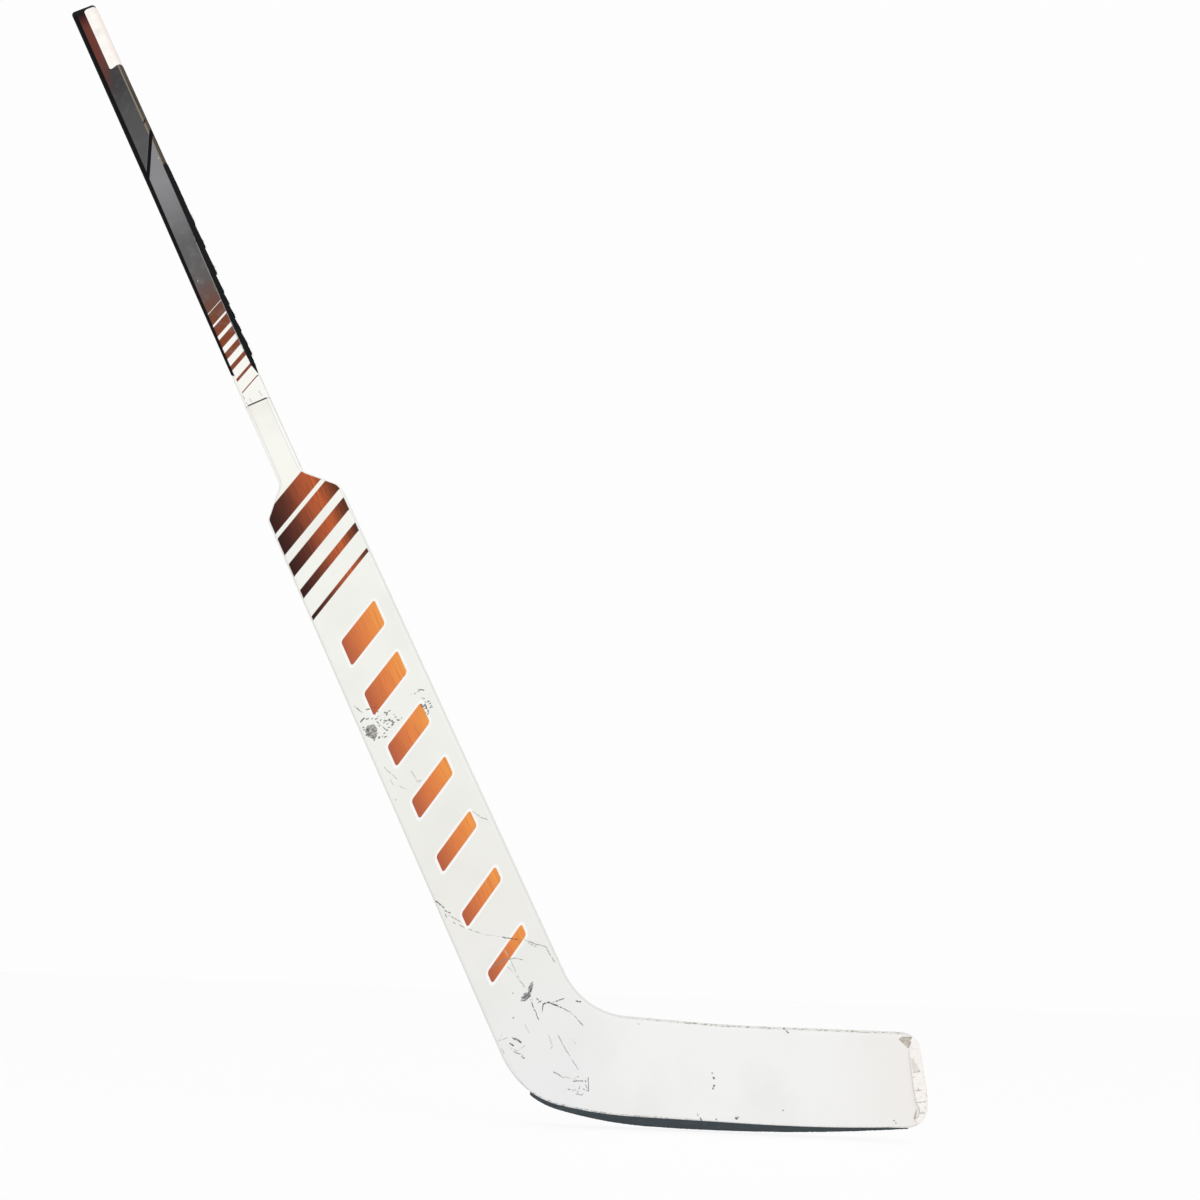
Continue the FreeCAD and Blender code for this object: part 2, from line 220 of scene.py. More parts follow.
# Outline of the moulded body, as (x, z, corner radius). Both lists run from the neck to the toe.
mouldedBody = {
    "outerCorners": [
        (*onStick(860.0, 27.8), 0),      # neck, above the seam
        (*onStick(718.0, 27.8), 14.0),   # neck root
        (*onStick(684.5, 0), 10.0),      # shoulder
        (*onStick(28.8, 0), 84.0),       # heel
        (67.2, 12.0, 430.0),             # back of the sole
        (278.3, 7.0, 1500.0),            # lowest stretch of the sole
        (373.5, 13.8, 22.0),             # toe, bottom
        (373.5, 45.8, 0),
    ],
    "innerCorners": [
        (*onStick(860.0, 56.8), 0),
        (*onStick(722.0, 56.8), 14.0),
        (*onStick(688.5, 88.0), 16.0),
        (44.3, 104.2, 75.0),             # throat
        (183.0, 97.2, 1500.0),           # dip in the blade's top
        (368.5, 97.2, 17.0),             # toe, top
        (373.5, 45.8, 0),
    ],
    "toeCorners": [(373.5, 13.8, 0), (373.5, 45.8, 100.0), (368.5, 97.2, 0)],
    "bendStart": 60.0, "bendEnd": 373.5,
    "toeCurveSole": 21.0, "toeCurveTop": 8.0, "soleHeight": 8.6, "bladeHeight": 88.6,
    "toeThinning": 9.0,
    "edgeRadius": 5.0, "soleEdgeRadius": 1.2, "soleTop": 40.0, "edgeChange": 14.0,
    "stripStart": -3.0, "stripEnd": 353.5, "mergeDistance": 0.001,
    "edgeSteps": 7, "flatInsets": (5.6, 6.4, 8.0), "faceInset": 20.0, "rungs": 14,
}
# Runs of the outer and inner path that face each other, and how many rungs join them
ladder = [
    ((0,), (0,), 16), ((1,), (1,), 12), ((2,), (2,), 8), ((3,), (3,), 12),
    ((4,), (4,), 96), ((5, 6, 7), (5,), 48), ((8, 9, 10), (6, 7, 8), 72), ((11,), (9,), 16),
]


# Straight runs and tangent arcs through the corners, each as (start, heading, length, turn)
def roundedRuns(corners):
    runs, here = [], Vector(corners[0][:2])
    for before, corner, after in zip(corners, corners[1:], corners[2:]):
        point = Vector(corner[:2])
        arriving = (point - Vector(before[:2])).normalized()
        leaving = (Vector(after[:2]) - point).normalized()
        turn = math.atan2(arriving.cross(leaving), arriving.dot(leaving))
        tangent = corner[2] * math.tan(abs(turn) / 2)
        arcStart = point - arriving * tangent
        runs.append((here, arriving, (arcStart - here).length, 0.0))
        runs.append((arcStart, arriving, corner[2] * abs(turn), turn))
        here = point + leaving * tangent
    last = Vector(corners[-1][:2]) - here
    runs.append((here, last.normalized(), last.length, 0.0))
    return runs


# A point on a run, with the direction to its left
def runPoint(run, distance):
    start, heading, length, turn = run
    left = Vector((-heading.y, heading.x))
    if not turn:
        return start + heading * distance, left
    radius = length / turn
    turned = Matrix.Rotation(turn * distance / length, 2) @ left
    return start + left * radius - turned * radius, turned


# A point at a distance along several runs
def pathPoint(runs, distance):
    for run in runs[:-1]:
        if distance <= run[2]:
            return runPoint(run, distance)
        distance -= run[2]
    return runPoint(runs[-1], distance)


def stretchPoints(runs, count):
    total = sum(run[2] for run in runs)
    return [pathPoint(runs, total * step / count) for step in range(count)]


# The blade leaves the flat plane of the paddle in a curve that grows from top to sole
def faceDepths(x, z):
    body = mouldedBody
    share = max(0.0, (x - body["bendStart"]) / (body["bendEnd"] - body["bendStart"])) ** 2
    rise = (z - body["soleHeight"]) / body["bladeHeight"]
    curve = body["toeCurveSole"] + (body["toeCurveTop"] - body["toeCurveSole"]) * rise
    half = stick["paddleHalfThickness"]
    return -half - curve * share, half - (body["toeThinning"] + curve) * share


# The rim as three lists of (point, inward): outer side, toe and inner side
def bodyRim():
    body = mouldedBody
    outerRuns, innerRuns = roundedRuns(body["outerCorners"]), roundedRuns(body["innerCorners"])
    outer, inner = [], []
    for outerChosen, innerChosen, count in ladder:
        outerStretch = [outerRuns[index] for index in outerChosen]
        innerStretch = [innerRuns[index] for index in innerChosen]
        outer += stretchPoints(outerStretch, count)
        inner += stretchPoints(innerStretch, count)
    for side, stretch in ((outer, outerStretch), (inner, innerStretch)):
        side.append(runPoint(stretch[-1], stretch[-1][2]))
    inner = [(point, -left) for point, left in inner]

    toeRuns = roundedRuns(body["toeCorners"])
    start = (outer[-1][0] - Vector(body["toeCorners"][0][:2])).length
    end = sum(run[2] for run in toeRuns) - (inner[-1][0] - Vector(body["toeCorners"][2][:2])).length
    shares = [step / body["rungs"] for step in range(1, body["rungs"])]
    toe = [pathPoint(toeRuns, start + (end - start) * share) for share in shares]
    return outer, toe, inner


# The sole keeps a nearly square edge where the wear strip meets it, and is rounded elsewhere
def edgeRadius(point):
    body = mouldedBody
    if point.y > body["soleTop"]:
        return body["edgeRadius"]
    share = smoothShare(point.x, body["stripStart"] - body["edgeChange"], body["stripStart"])
    share *= 1 - smoothShare(point.x, body["stripEnd"], body["stripEnd"] + body["edgeChange"])
    return body["edgeRadius"] + (body["soleEdgeRadius"] - body["edgeRadius"]) * share


# Faces between two rows of points
def joinRows(shell, row, nextRow):
    for index in range(len(row) - 1):
        shell.faces.new((row[index], row[index + 1], nextRow[index + 1], nextRow[index]))


# One face of the shell, front (0) or back (1): rings round its soft edge and inwards, then rungs across.
# Gives back the ring at the rim.
def addShellSide(shell, side, outerCount, rim):
    body = mouldedBody
    rungs = body["rungs"]
    rimLayer, frontLayer = (shell.verts.layers.float[name] for name in ("rim", "frontFace"))

    def addPoint(flat, drop, inset):
        depth = faceDepths(flat.x, flat.y)[side] + (-drop if side else drop)
        vertex = shell.verts.new(Vector((flat.x, depth, flat.y)) * millimetre)
        vertex[rimLayer] = inset
        vertex[frontLayer] = 1.0 - side
        return vertex

    rings = []
    for step in range(body["edgeSteps"] + 1):
        angle = math.pi / 2 * step / body["edgeSteps"]
        ring = []
        for point, inward in rim:
            radius = edgeRadius(point)
            inset = radius * (1 - math.cos(angle))
            ring.append(addPoint(point + inward * inset, radius * (1 - math.sin(angle)), inset))
        rings.append(ring)
    for inset in body["flatInsets"]:
        rings.append([addPoint(point + inward * inset, 0, inset) for point, inward in rim])
    for ring, nextRing in zip(rings, rings[1:]):
        joinRows(shell, ring, nextRing)

    innermost, previous = rings[-1], None
    for row in range(outerCount):
        if row == outerCount - 1:
            line = innermost[row:row + rungs + 1]
        else:
            start, end = innermost[row], innermost[len(rim) - 1 - row]
            line = [start]
            for step in range(1, rungs):
                between = start.co.lerp(end.co, step / rungs) / millimetre
                line.append(addPoint(Vector((between.x, between.z)), 0, body["faceInset"]))
            line.append(end)
        if previous:
            joinRows(shell, previous, line)
        previous = line
    return rings[0]


def mouldedShellMesh():
    outer, toe, inner = bodyRim()
    rim = outer + toe + inner[::-1]
    shell = bmesh.new()
    for name in ("rim", "frontFace"):
        shell.verts.layers.float.new(name)
    frontRim, backRim = (addShellSide(shell, side, len(outer), rim) for side in (0, 1))
    joinRows(shell, frontRim, backRim)

    # the neck is cut square at the seam and closed
    everything = list(shell.verts) + list(shell.edges) + list(shell.faces)
    bmesh.ops.bisect_plane(
        shell, geom=everything, dist=mouldedBody["mergeDistance"] * millimetre, clear_outer=True,
        plane_co=stickPoint(stick["midLine"], 0, stick["seamLevel"]),
        plane_no=stickPoint(0, 0, 1),
    )
    openEdges = [edge for edge in shell.edges if edge.is_boundary]
    bmesh.ops.contextual_create(shell, geom=openEdges)
    bmesh.ops.recalc_face_normals(shell, faces=shell.faces)
    mesh = bpy.data.meshes.new("mouldedShell")
    shell.to_mesh(mesh)
    shell.free()
    return mesh


shellMesh = mouldedShellMesh()
print("stage: moulded shell", len(shellMesh.polygons), "faces")

# Shaft: full width under the hands, narrowing to the neck it is bonded to
shaft = {
    "bottom": 821.8, "top": 1417.0, "width": 31.2, "depth": 20.6, "cornerRadius": 4.6, "cornerSteps": 10,
    "neckWidth": 29.0, "neckMiddle": 42.3, "taperStart": 930.0, "taperEnd": 1160.0, "rings": 60,
    "leastRadius": 0.6, "stackSteps": 8,
}


# An offset of the full-width shaft, moved to where the narrowing has brought it at a level
def shaftOffset(offset, level):
    share = smoothShare(level, shaft["taperStart"], shaft["taperEnd"])
    narrow = shaft["neckWidth"] / shaft["width"]
    middle = shaft["neckMiddle"] + (stick["midLine"] - shaft["neckMiddle"]) * share
    return middle + (offset - stick["midLine"]) * (narrow + (1 - narrow) * share)


# A rounded bar swept along the stick by Geometry Nodes, narrower at its lower end
def shaftTree(material):
    tree, given = newGroup("sweptShaft", "GeometryNodeTree", {
        "Float": ("Width", "Depth", "Corner Radius", "Bottom", "Top", "Lean", "Middle",
                  "Neck Width", "Neck Middle", "Taper Start", "Taper End"),
        "Int": ("Corner Steps", "Rings")}, "Geometry", "Shaft")
    profile = addNode(tree, "GeometryNodeCurvePrimitiveQuadrilateral", {"mode": "RECTANGLE"}, {
        "Width": given["Width"], "Height": given["Depth"]})
    rounded = addNode(tree, "GeometryNodeFilletCurve", {"mode": "POLY"}, {
        "Curve": profile, "Radius": given["Corner Radius"], "Count": given["Corner Steps"]})
    start = addNode(tree, "ShaderNodeCombineXYZ", None, {"Z": given["Bottom"]})
    end = addNode(tree, "ShaderNodeCombineXYZ", None, {"Z": given["Top"]})
    path = addNode(tree, "GeometryNodeCurvePrimitiveLine", None, {"Start": start, "End": end})
    path = addNode(tree, "GeometryNodeResampleCurve", None, {"Curve": path, "Count": given["Rings"]})
    bar = addNode(tree, "GeometryNodeCurveToMesh", None, {
        "Curve": path, "Profile Curve": rounded, "Fill Caps": True})
    position = addNode(tree, "GeometryNodeInputPosition")
    parts = addNode(tree, "ShaderNodeSeparateXYZ", None, {"Vector": position}).outputs
    share = addNode(tree, "ShaderNodeMapRange", {"interpolation_type": "SMOOTHSTEP"}, {
        "Value": parts["Z"], "From Min": given["Taper Start"], "From Max": given["Taper End"]})
    narrow = addNode(tree, "ShaderNodeMath", {"operation": "DIVIDE"}, {
        0: given["Neck Width"], 1: given["Width"]})
    narrow = addNode(tree, "ShaderNodeMapRange", None, {"Value": share, "To Min": narrow, "To Max": 1.0})
    middle = addNode(tree, "ShaderNodeMapRange", None, {
        "Value": share, "To Min": given["Neck Middle"], "To Max": given["Middle"]})
    across = addNode(tree, "ShaderNodeMath", {"operation": "MULTIPLY_ADD"}, {
        0: parts["X"], 1: narrow, 2: middle})
    moved = addNode(tree, "ShaderNodeCombineXYZ", None, {"X": across, "Y": parts["Y"], "Z": parts["Z"]})
    tapered = addNode(tree, "GeometryNodeSetPosition", None, {"Geometry": bar, "Position": moved})
    turn = addNode(tree, "ShaderNodeCombineXYZ", None, {"Y": given["Lean"]})
    leant = addNode(tree, "GeometryNodeTransform", None, {"Geometry": tapered, "Rotation": turn})
    return endTree(tree, leant, material, "Shaft")


# Runs a tree on a mesh and returns the result as a plain mesh
def nodesMesh(name, mesh, tree, values):
    carrier = bpy.data.objects.new(name, mesh)
    scene.collection.objects.link(carrier)
    modifier = carrier.modifiers.new(name, "NODES")
    modifier.node_group = tree
    for item in tree.interface.items_tree:
        if item.in_out == "INPUT" and item.name in values:
            modifier[item.identifier] = values[item.name]
    evaluated = carrier.evaluated_get(bpy.context.evaluated_depsgraph_get())
    result = bpy.data.meshes.new_from_object(evaluated)
    bpy.data.objects.remove(carrier)
    result.name = name
    return result


# Points round the shaft: distance runs from the middle of the front face to the right, over the corner
def shaftSkin(distance, lift, level):
    halfWidth, halfDepth, radius = shaft["width"] / 2, shaft["depth"] / 2, shaft["cornerRadius"]
    flat, arc, side = halfWidth - radius, radius * math.pi / 2, 2 * (halfDepth - radius)
    if distance <= flat:
        across, depth = distance, -halfDepth - lift
    elif distance <= flat + arc:
        angle = (distance - flat) / radius
        across = flat + (radius + lift) * math.sin(angle)
        depth = radius - halfDepth - (radius + lift) * math.cos(angle)
    elif distance <= flat + arc + side:
        across, depth = halfWidth + lift, radius - halfDepth + distance - flat - arc
    elif distance <= flat + 2 * arc + side:
        angle = (distance - flat - arc - side) / radius
        across = flat + (radius + lift) * math.cos(angle)
        depth = halfDepth - radius + (radius + lift) * math.sin(angle)
    else:
        across, depth = flat - (distance - flat - 2 * arc - side), halfDepth + lift
    return stickPoint(shaftOffset(stick["midLine"] + across, level), depth, level)


# A rounded bar round the shaft's middle, through (level, growth of the shaft's section)
def roundedStack(name, levels):
    steps = shaft["stackSteps"]
    rings = []
    for level, grow in levels:
        radius = max(shaft["cornerRadius"] + grow, shaft["leastRadius"])
        halfWidth, halfDepth = shaft["width"] / 2 + grow, shaft["depth"] / 2 + grow
        ring = []
        for quarter, (sideX, sideY) in enumerate(((1, -1), (1, 1), (-1, 1), (-1, -1))):
            for step in range(steps + 1):
                angle = math.pi / 2 * (quarter - 1 + step / steps)
                across = stick["midLine"] + sideX * (halfWidth - radius) + radius * math.cos(angle)
                depth = sideY * (halfDepth - radius) + radius * math.sin(angle)
                ring.append(stickPoint(shaftOffset(across, level), depth, level))
        rings.append(ring)
    return ringStack(name, rings)


# Butt cap: a shallow moulded lid with a soft top edge, a thin parting line above the tube, and a plug in it
buttCap = {
    "bottom": 1417.0, "top": 1426.0, "round": 3.2, "roundSteps": 8, "crown": 0.7,
    "crownShares": (0.35, 0.6, 0.8), "crownDraw": 6.2,
    "plugLength": 30.0, "plugInset": 1.9, "partingLevels": (0.1, 0.6), "partingInset": 0.5,
}


def buttCapMesh():
    cap = buttCap
    bottom, top, edge = cap["bottom"], cap["top"], cap["round"]
    lineBottom, lineTop = (bottom + rise for rise in cap["partingLevels"])
    levels = [(bottom - cap["plugLength"], -cap["plugInset"]), (bottom, -cap["plugInset"]),
              (lineBottom, -cap["partingInset"]), (lineTop, 0.0)]
    for step in range(cap["roundSteps"] + 1):
        angle = math.pi / 2 * step / cap["roundSteps"]
        levels.append((top - cap["crown"] - edge * (1 - math.sin(angle)), -edge * (1 - math.cos(angle))))
    for share in cap["crownShares"]:
        levels.append((top - cap["crown"] * (1 - share) ** 2, -edge - cap["crownDraw"] * share))
    return roundedStack("buttCap", levels)


# Joint between neck and shaft, from the seam up: the line of resin that shows and the stepped spigot inside,
# as (level, growth of the shaft's section)
joint = {
    "glueLine": ((0.0, -0.1), (0.4, -0.02), (0.8, -0.1)),
    "spigot": ((-61.6, -5.0), (-60.0, -4.2), (-0.6, -4.2), (0.4, -2.6), (67.0, -2.6), (70.0, -3.4)),
}


def jointMesh(name, steps):
    return roundedStack(name, [(stick["seamLevel"] + rise, grow) for rise, grow in steps])


# Label: bare paper on the front face, folded over the right corner. Its lower left corner has let go and
# hangs down.
shaftLabel = {
    "bottom": 1320.8, "top": 1420.0, "left": 0.3, "right": 22.9, "corner": 4.5, "thickness": 0.25,
    "rows": 90, "columns": 44, "lift": 0.03, "ripple": 0.05, "rippleSize": 9.0,
    "looseCorner": 2.0, "curl": 0.5, "curlReach": 7.0, "curlStretch": 0.7, "droop": 3.0, "droopShare": 0.45,
    "smudgeSize": 16.0, "pulpSize": 0.6, "foldShade": {"From Min": 54.0, "From Max": 59.6},
}


# How far a rounded corner draws a side in, near its end
def cornerInset(radius, toEnd):
    return radius - math.sqrt(radius ** 2 - (radius - min(toEnd, radius)) ** 2)


def shaftLabelMesh():
    label = shaftLabel
    rows = []
    for step in range(label["rows"] + 1):
        level = label["bottom"] + (label["top"] - label["bottom"]) * step / label["rows"]
        fromBottom, fromTop = level - label["bottom"], label["top"] - level
        left = label["left"] + max(cornerInset(label["looseCorner"], fromBottom),
                                   cornerInset(label["corner"], fromTop))
        right = label["right"] - cornerInset(label["corner"], min(fromBottom, fromTop))
        row = []
        for column in range(label["columns"] + 1):
            across = column / label["columns"]
            distance = left + (right - left) * across
            fromCorner = math.hypot(distance - left, fromBottom * label["curlStretch"])
            lift = label["lift"] + label["curl"] * max(0.0, 1 - fromCorner / label["curlReach"]) ** 2
            lift += label["ripple"] * max(0, unevenness(distance, 0, level, label["rippleSize"], 3))
            drawnUp = label["droop"] * min(1, across / label["droopShare"]) * (1 - step / label["rows"])
            lifts = (lift + label["thickness"], lift)
            row.append([shaftSkin(distance, height, level + drawnUp) for height in lifts])
        rows.append(row)
    return sheetMesh("shaftLabel", rows)


# Friction strip on the right narrow side, cut by hand: slanted ends, lumpy pile, and steps where layers have
# torn off. Its thickness is given up the stick, from tear to tear.
sideGrip = {
    "bottom": 872.0, "top": 1178.0, "bottomSlant": 5.0, "topSlant": 15.0, "left": 11.3, "right": 36.6,
    "thickness": [
        (872, 0.25), (890.5, 0.3), (891.6, 2.1), (903, 1.1), (904, 2.2), (923.5, 0.5), (924.6, 2.0),
        (943.5, 0.5), (944.6, 2.0), (962.5, 0.5), (963.6, 1.9), (979.5, 0.5), (980.6, 1.6), (1007, 0.5),
        (1008.6, 2.7), (1046.5, 1.1), (1047.6, 2.4), (1080, 1.1), (1084, 2.1), (1094, 1.2), (1130, 0.9),
        (1178, 0.25)],
    "tears": (891, 903.5, 924, 944, 963, 980, 1008, 1047.5, 1086), "tearReach": 5.0,
    "tearShift": 0.7, "tearSize": 3.5, "tearStretch": 0.1, "pile": 0.3, "pileSize": 2.2,
    "gap": 0.02, "backing": 0.12, "leastPile": 0.15, "edgeFade": 1.2, "leastEdge": 0.02,
    "ragged": 0.35, "raggedSizes": (5.0, 6.0), "endRagged": 0.8, "endRaggedSize": 3.0,
    "rows": 420, "columns": 30, "seed": 11,
    "fibreCount": 260, "fibreLength": 2.0, "fibreRadius": 0.12, "fibreTip": 0.02, "tornFibres": 9.0,
    "shortestFibre": 0.35, "fibreLean": (1.1, 1.1, 3.1),
}


def sideGripMesh():
    grip = sideGrip
    rows = []
    width, length = grip["right"] - grip["left"], grip["top"] - grip["bottom"]
    for step in range(grip["rows"] + 1):
        share = step / grip["rows"]
        leftEdge, rightEdge = (
            grip[side] + grip["ragged"] * unevenness(0, 0, share * length, size, seed)
            for side, size, seed in zip(("left", "right"), grip["raggedSizes"], (1, 2)))
        row = []
        for column in range(grip["columns"] + 1):
            across = column / grip["columns"]
            distance = leftEdge + (rightEdge - leftEdge) * across
            bottomRagged, topRagged = (
                grip["endRagged"] * unevenness(distance, 0, 0, grip["endRaggedSize"], seed)
                for seed in (4, 5))
            bottom = grip["bottom"] + grip["bottomSlant"] * (1 - across) + bottomRagged
            top = grip["top"] - grip["topSlant"] * (1 - across) + topRagged
            level = bottom + (top - bottom) * share
            torn = unevenness(distance, 0, level * grip["tearStretch"], grip["tearSize"], 6)
            lumps = heightAlong(grip["thickness"], level + grip["tearShift"] * torn)
            lumps += grip["pile"] * unevenness(distance, 0, level, grip["pileSize"], 7)
            toEdge = min(min(across, 1 - across) * width, min(share, 1 - share) * length)
            atEdge = math.sqrt(max(min(1.0, toEdge / grip["edgeFade"]), grip["leastEdge"]))
            height = grip["backing"] + max(grip["leastPile"], lumps) * atEdge
            row.append([shaftSkin(distance, lift, level) for lift in (height, grip["gap"])])
        rows.append(row)
    mesh = sheetMesh("sideGrip", rows)
    nearTear = mesh.attributes.new("nearTear", "FLOAT", "POINT")
    for vertex, item in zip(mesh.vertices, nearTear.data):
        level = alongStick.dot(Vector((vertex.co.x, vertex.co.z))) / millimetre
        item.value = max(0.0, 1 - min(abs(level - tear) for tear in grip["tears"]) / grip["tearReach"])
    return mesh


# Loose fibres that stand out of a pile, more and longer at the tears, joined to the strip they grow from
def fibreTree(material):
    tree, given = newGroup("looseFibres", "GeometryNodeTree", {
        "Geometry": ("Strip",), "Float": ("Length", "Radius", "Tip Radius", "Density", "Torn Fibres"),
        "Int": ("Seed",)}, "Geometry", "Strip")
    nearTear = addNode(tree, "GeometryNodeInputNamedAttribute", {"data_type": "FLOAT"}, {"Name": "nearTear"})
    more = addNode(tree, "ShaderNodeMath", {"operation": "MULTIPLY_ADD"}, {
        0: nearTear, 1: given["Torn Fibres"], 2: 1.0})
    density = addNode(tree, "ShaderNodeMath", {"operation": "MULTIPLY"}, {0: more, 1: given["Density"]})
    scatter = addNode(tree, "GeometryNodeDistributePointsOnFaces", {"distribute_method": "RANDOM"}, {
        "Mesh": given["Strip"], "Density": density, "Seed": given["Seed"]})
    fibre = addNode(tree, "GeometryNodeMeshCone", {"fill_type": "NGON"}, {
        "Vertices": 4, "Side Segments": 2, "Radius Top": given["Tip Radius"],
        "Radius Bottom": given["Radius"], "Depth": given["Length"]})
    lean = addNode(tree, "FunctionNodeRandomValue", {"data_type": "FLOAT_VECTOR"}, {
        "Min": [-angle for angle in sideGrip["fibreLean"]], "Max": sideGrip["fibreLean"],
        "Seed": given["Seed"]})
    turned = addNode(tree, "FunctionNodeRotateEuler", {"space": "LOCAL"}, {
        "Rotation": scatter.outputs["Rotation"], "Rotate By": lean})
    size = addNode(tree, "FunctionNodeRandomValue", {"data_type": "FLOAT"}, {
        "Min": sideGrip["shortestFibre"], "Max": 1.0, "Seed": given["Seed"]})
    longer = addNode(tree, "ShaderNodeMath", {"operation": "ADD"}, {0: nearTear, 1: 1.0})
    size = addNode(tree, "ShaderNodeMath", {"operation": "MULTIPLY"}, {0: size, 1: longer})
    grown = addNode(tree, "GeometryNodeInstanceOnPoints", None, {
        "Points": scatter.outputs["Points"], "Instance": fibre.outputs["Mesh"],
        "Rotation": turned, "Scale": size})
    joined = addNode(tree, "GeometryNodeJoinGeometry")
    tree.links.new(given["Strip"], joined.inputs[0])
    tree.links.new(grown.outputs[0], joined.inputs[0])
    return endTree(tree, joined, material, "Strip")


# Toe tape: a strip of cloth folded over the toe and pressed flat, with creases round the bend and thin edges
toeTape = {
    "fromSole": 361.0, "fromTop": 362.8, "soleSide": 50.0, "gap": 0.03, "thickness": 0.35, "thinEdge": 0.02,
    "crease": 0.3, "creaseSize": 3.2, "creaseStretch": 0.25, "ragged": 0.7, "raggedSize": 5.0,
    "flatSteps": 6, "bendSteps": 8,
    # how far it reaches in from the toe, at heights up the blade
    "reach": [(13, 5.4), (19.4, 5.6), (25.9, 7.4), (32, 10.2), (38.2, 11.7), (50.6, 12.6), (61.6, 12.3),
              (69, 12.0), (76, 11.7), (83.2, 10.5), (88.7, 8.0), (92, 6.0), (94, 5.4)],
}


# Section of the tape from its front edge round the bend to its back edge, as (inset, depth)
def tapeSection(reach, faces, full):
    tape, radius = toeTape, mouldedBody["edgeRadius"]
    section = []
    for sign, face in zip((1, -1), faces):
        half = []
        for step in range(tape["flatSteps"]):
            lift = tape["gap"]
            if full:
                lift += tape["thinEdge"] + (full - tape["thinEdge"]) * step / (tape["flatSteps"] - 1)
            half.append((reach + (radius - reach) * step / tape["flatSteps"], face - sign * lift))
        bend = radius + tape["gap"] + full
        for step in range(tape["bendSteps"] + 1):
            angle = math.pi / 2 * (1 - step / tape["bendSteps"])
            half.append((radius - bend * math.cos(angle), face + sign * (radius - bend * math.sin(angle))))
        section += half if sign == 1 else half[::-1]
    return section


def toeTapeMesh():
    tape = toeTape
    outer, toe, inner = bodyRim()
    rows = []
    for point, inward in outer + toe + inner[::-1]:
        if point.x <= (tape["fromTop"] if point.y > tape["soleSide"] else tape["fromSole"]):
            continue
        faces = faceDepths(point.x, point.y)
        reach = heightAlong(tape["reach"], point.y)
        reach += tape["ragged"] * max(0, unevenness(point.x, 0, point.y, tape["raggedSize"], 8))
        row = []
        outsides, insides = (tapeSection(reach, faces, full) for full in (tape["thickness"], 0.0))
        for outside, inside in zip(outsides, insides):
            crease = unevenness(point.x, outside[1] * tape["creaseStretch"], point.y, tape["creaseSize"], 9)
            grow = 1 + tape["crease"] * max(0, crease) / tape["thickness"]
            outside = [low + (high - low) * grow for low, high in zip(inside, outside)]
            pair = []
            for inset, depth in (outside, inside):
                flat = point + inward * inset
                pair.append(Vector((flat.x, depth, flat.y)) * millimetre)
            row.append(pair)
        rows.append(row)
    return sheetMesh("toeTape", rows)


# Wear strip under the sole, deeper at the back: dragged over ice, so its lower side is ragged and its edges
# are gone
wearStrip = {
    "frontCorners": [(*onStick(200.0, 0), 0), (*onStick(27.36, 0), 84.0), (67.2, 7.635, 430.0),
                     (270.7, 1.2, 1500.0), (373.5, 13.8, 22.0), (373.5, 45.8, 0)],
    "backCorners": [(*onStick(200.0, 0), 0), (*onStick(25.6, 0), 84.0), (67.2, 2.3, 430.0),
                    (261.45, -2.7, 1500.0), (373.5, 13.8, 22.0), (373.5, 45.8, 0)],
    "frontDepth": -32.0, "backDepth": 11.0, "stations": 400, "across": 6, "halvings": 24,
    "ragged": 0.5, "roughSizes": (3.0, 1.3), "fineShare": 0.6,
    "edgeWear": 0.7, "leastDepth": 0.2, "leastEdge": 0.1,
    # smeared up the front of the blade by this much along x
    "lip": [(60, 0.0), (150, 0.6), (240, 1.1), (335, 1.1), (353, 0.1)], "lipProud": 0.08,
}


# Height of an outline's lower side at x, read along its runs from the heel to the toe
def lowerSide(runs, x):
    for run in runs:
        low, high = runPoint(run, 0)[0].x, runPoint(run, run[2])[0].x
        if low <= x <= high and high > low:
            near, far = 0.0, run[2]
            for halving in range(wearStrip["halvings"]):
                middle = (near + far) / 2
                near, far = (middle, far) if runPoint(run, middle)[0].x < x else (near, middle)
            return runPoint(run, near)[0].y
    return runPoint(runs[-1], 0)[0].y


def wearStripMesh():
    strip, body = wearStrip, mouldedBody
    soleRuns = roundedRuns(body["outerCorners"][2:])  # from the shoulder on
    frontRuns, backRuns = roundedRuns(strip["frontCorners"]), roundedRuns(strip["backCorners"])
    rings = []
    for station in range(strip["stations"] + 1):
        x = body["stripStart"] + (body["stripEnd"] - body["stripStart"]) * station / strip["stations"]
        sole, atFront, atBack = (lowerSide(runs, x) for runs in (soleRuns, frontRuns, backRuns))
        front, back = faceDepths(x, sole)
        lip = heightAlong(strip["lip"], x)
        ring = [Vector((x, front - strip["lipProud"] * lip, sole + lip)), Vector((x, back, sole))]
        for step in range(strip["across"], -1, -1):
            depth = front + (back - front) * step / strip["across"]
            share = (depth - strip["frontDepth"]) / (strip["backDepth"] - strip["frontDepth"])
            coarse, fine = (abs(unevenness(x, depth, 0, size, seed))
                            for size, seed in zip(strip["roughSizes"], (21, 22)))
            height = atFront + (atBack - atFront) * share
            height += strip["ragged"] * (coarse + strip["fineShare"] * fine)
            height = min(height, sole - strip["leastDepth"])
            if step in (0, strip["across"]):
                ring.append(Vector((x, depth, min(height + strip["edgeWear"], sole - strip["leastEdge"]))))
                inwards = strip["edgeWear"] * (1 if step == 0 else -1)
                ring.insert(len(ring) if step else len(ring) - 1, Vector((x, depth + inwards, height)))
            else:
                ring.append(Vector((x, depth, height)))
        rings.append([point * millimetre for point in ring])
    return ringStack("wearStrip", rings)


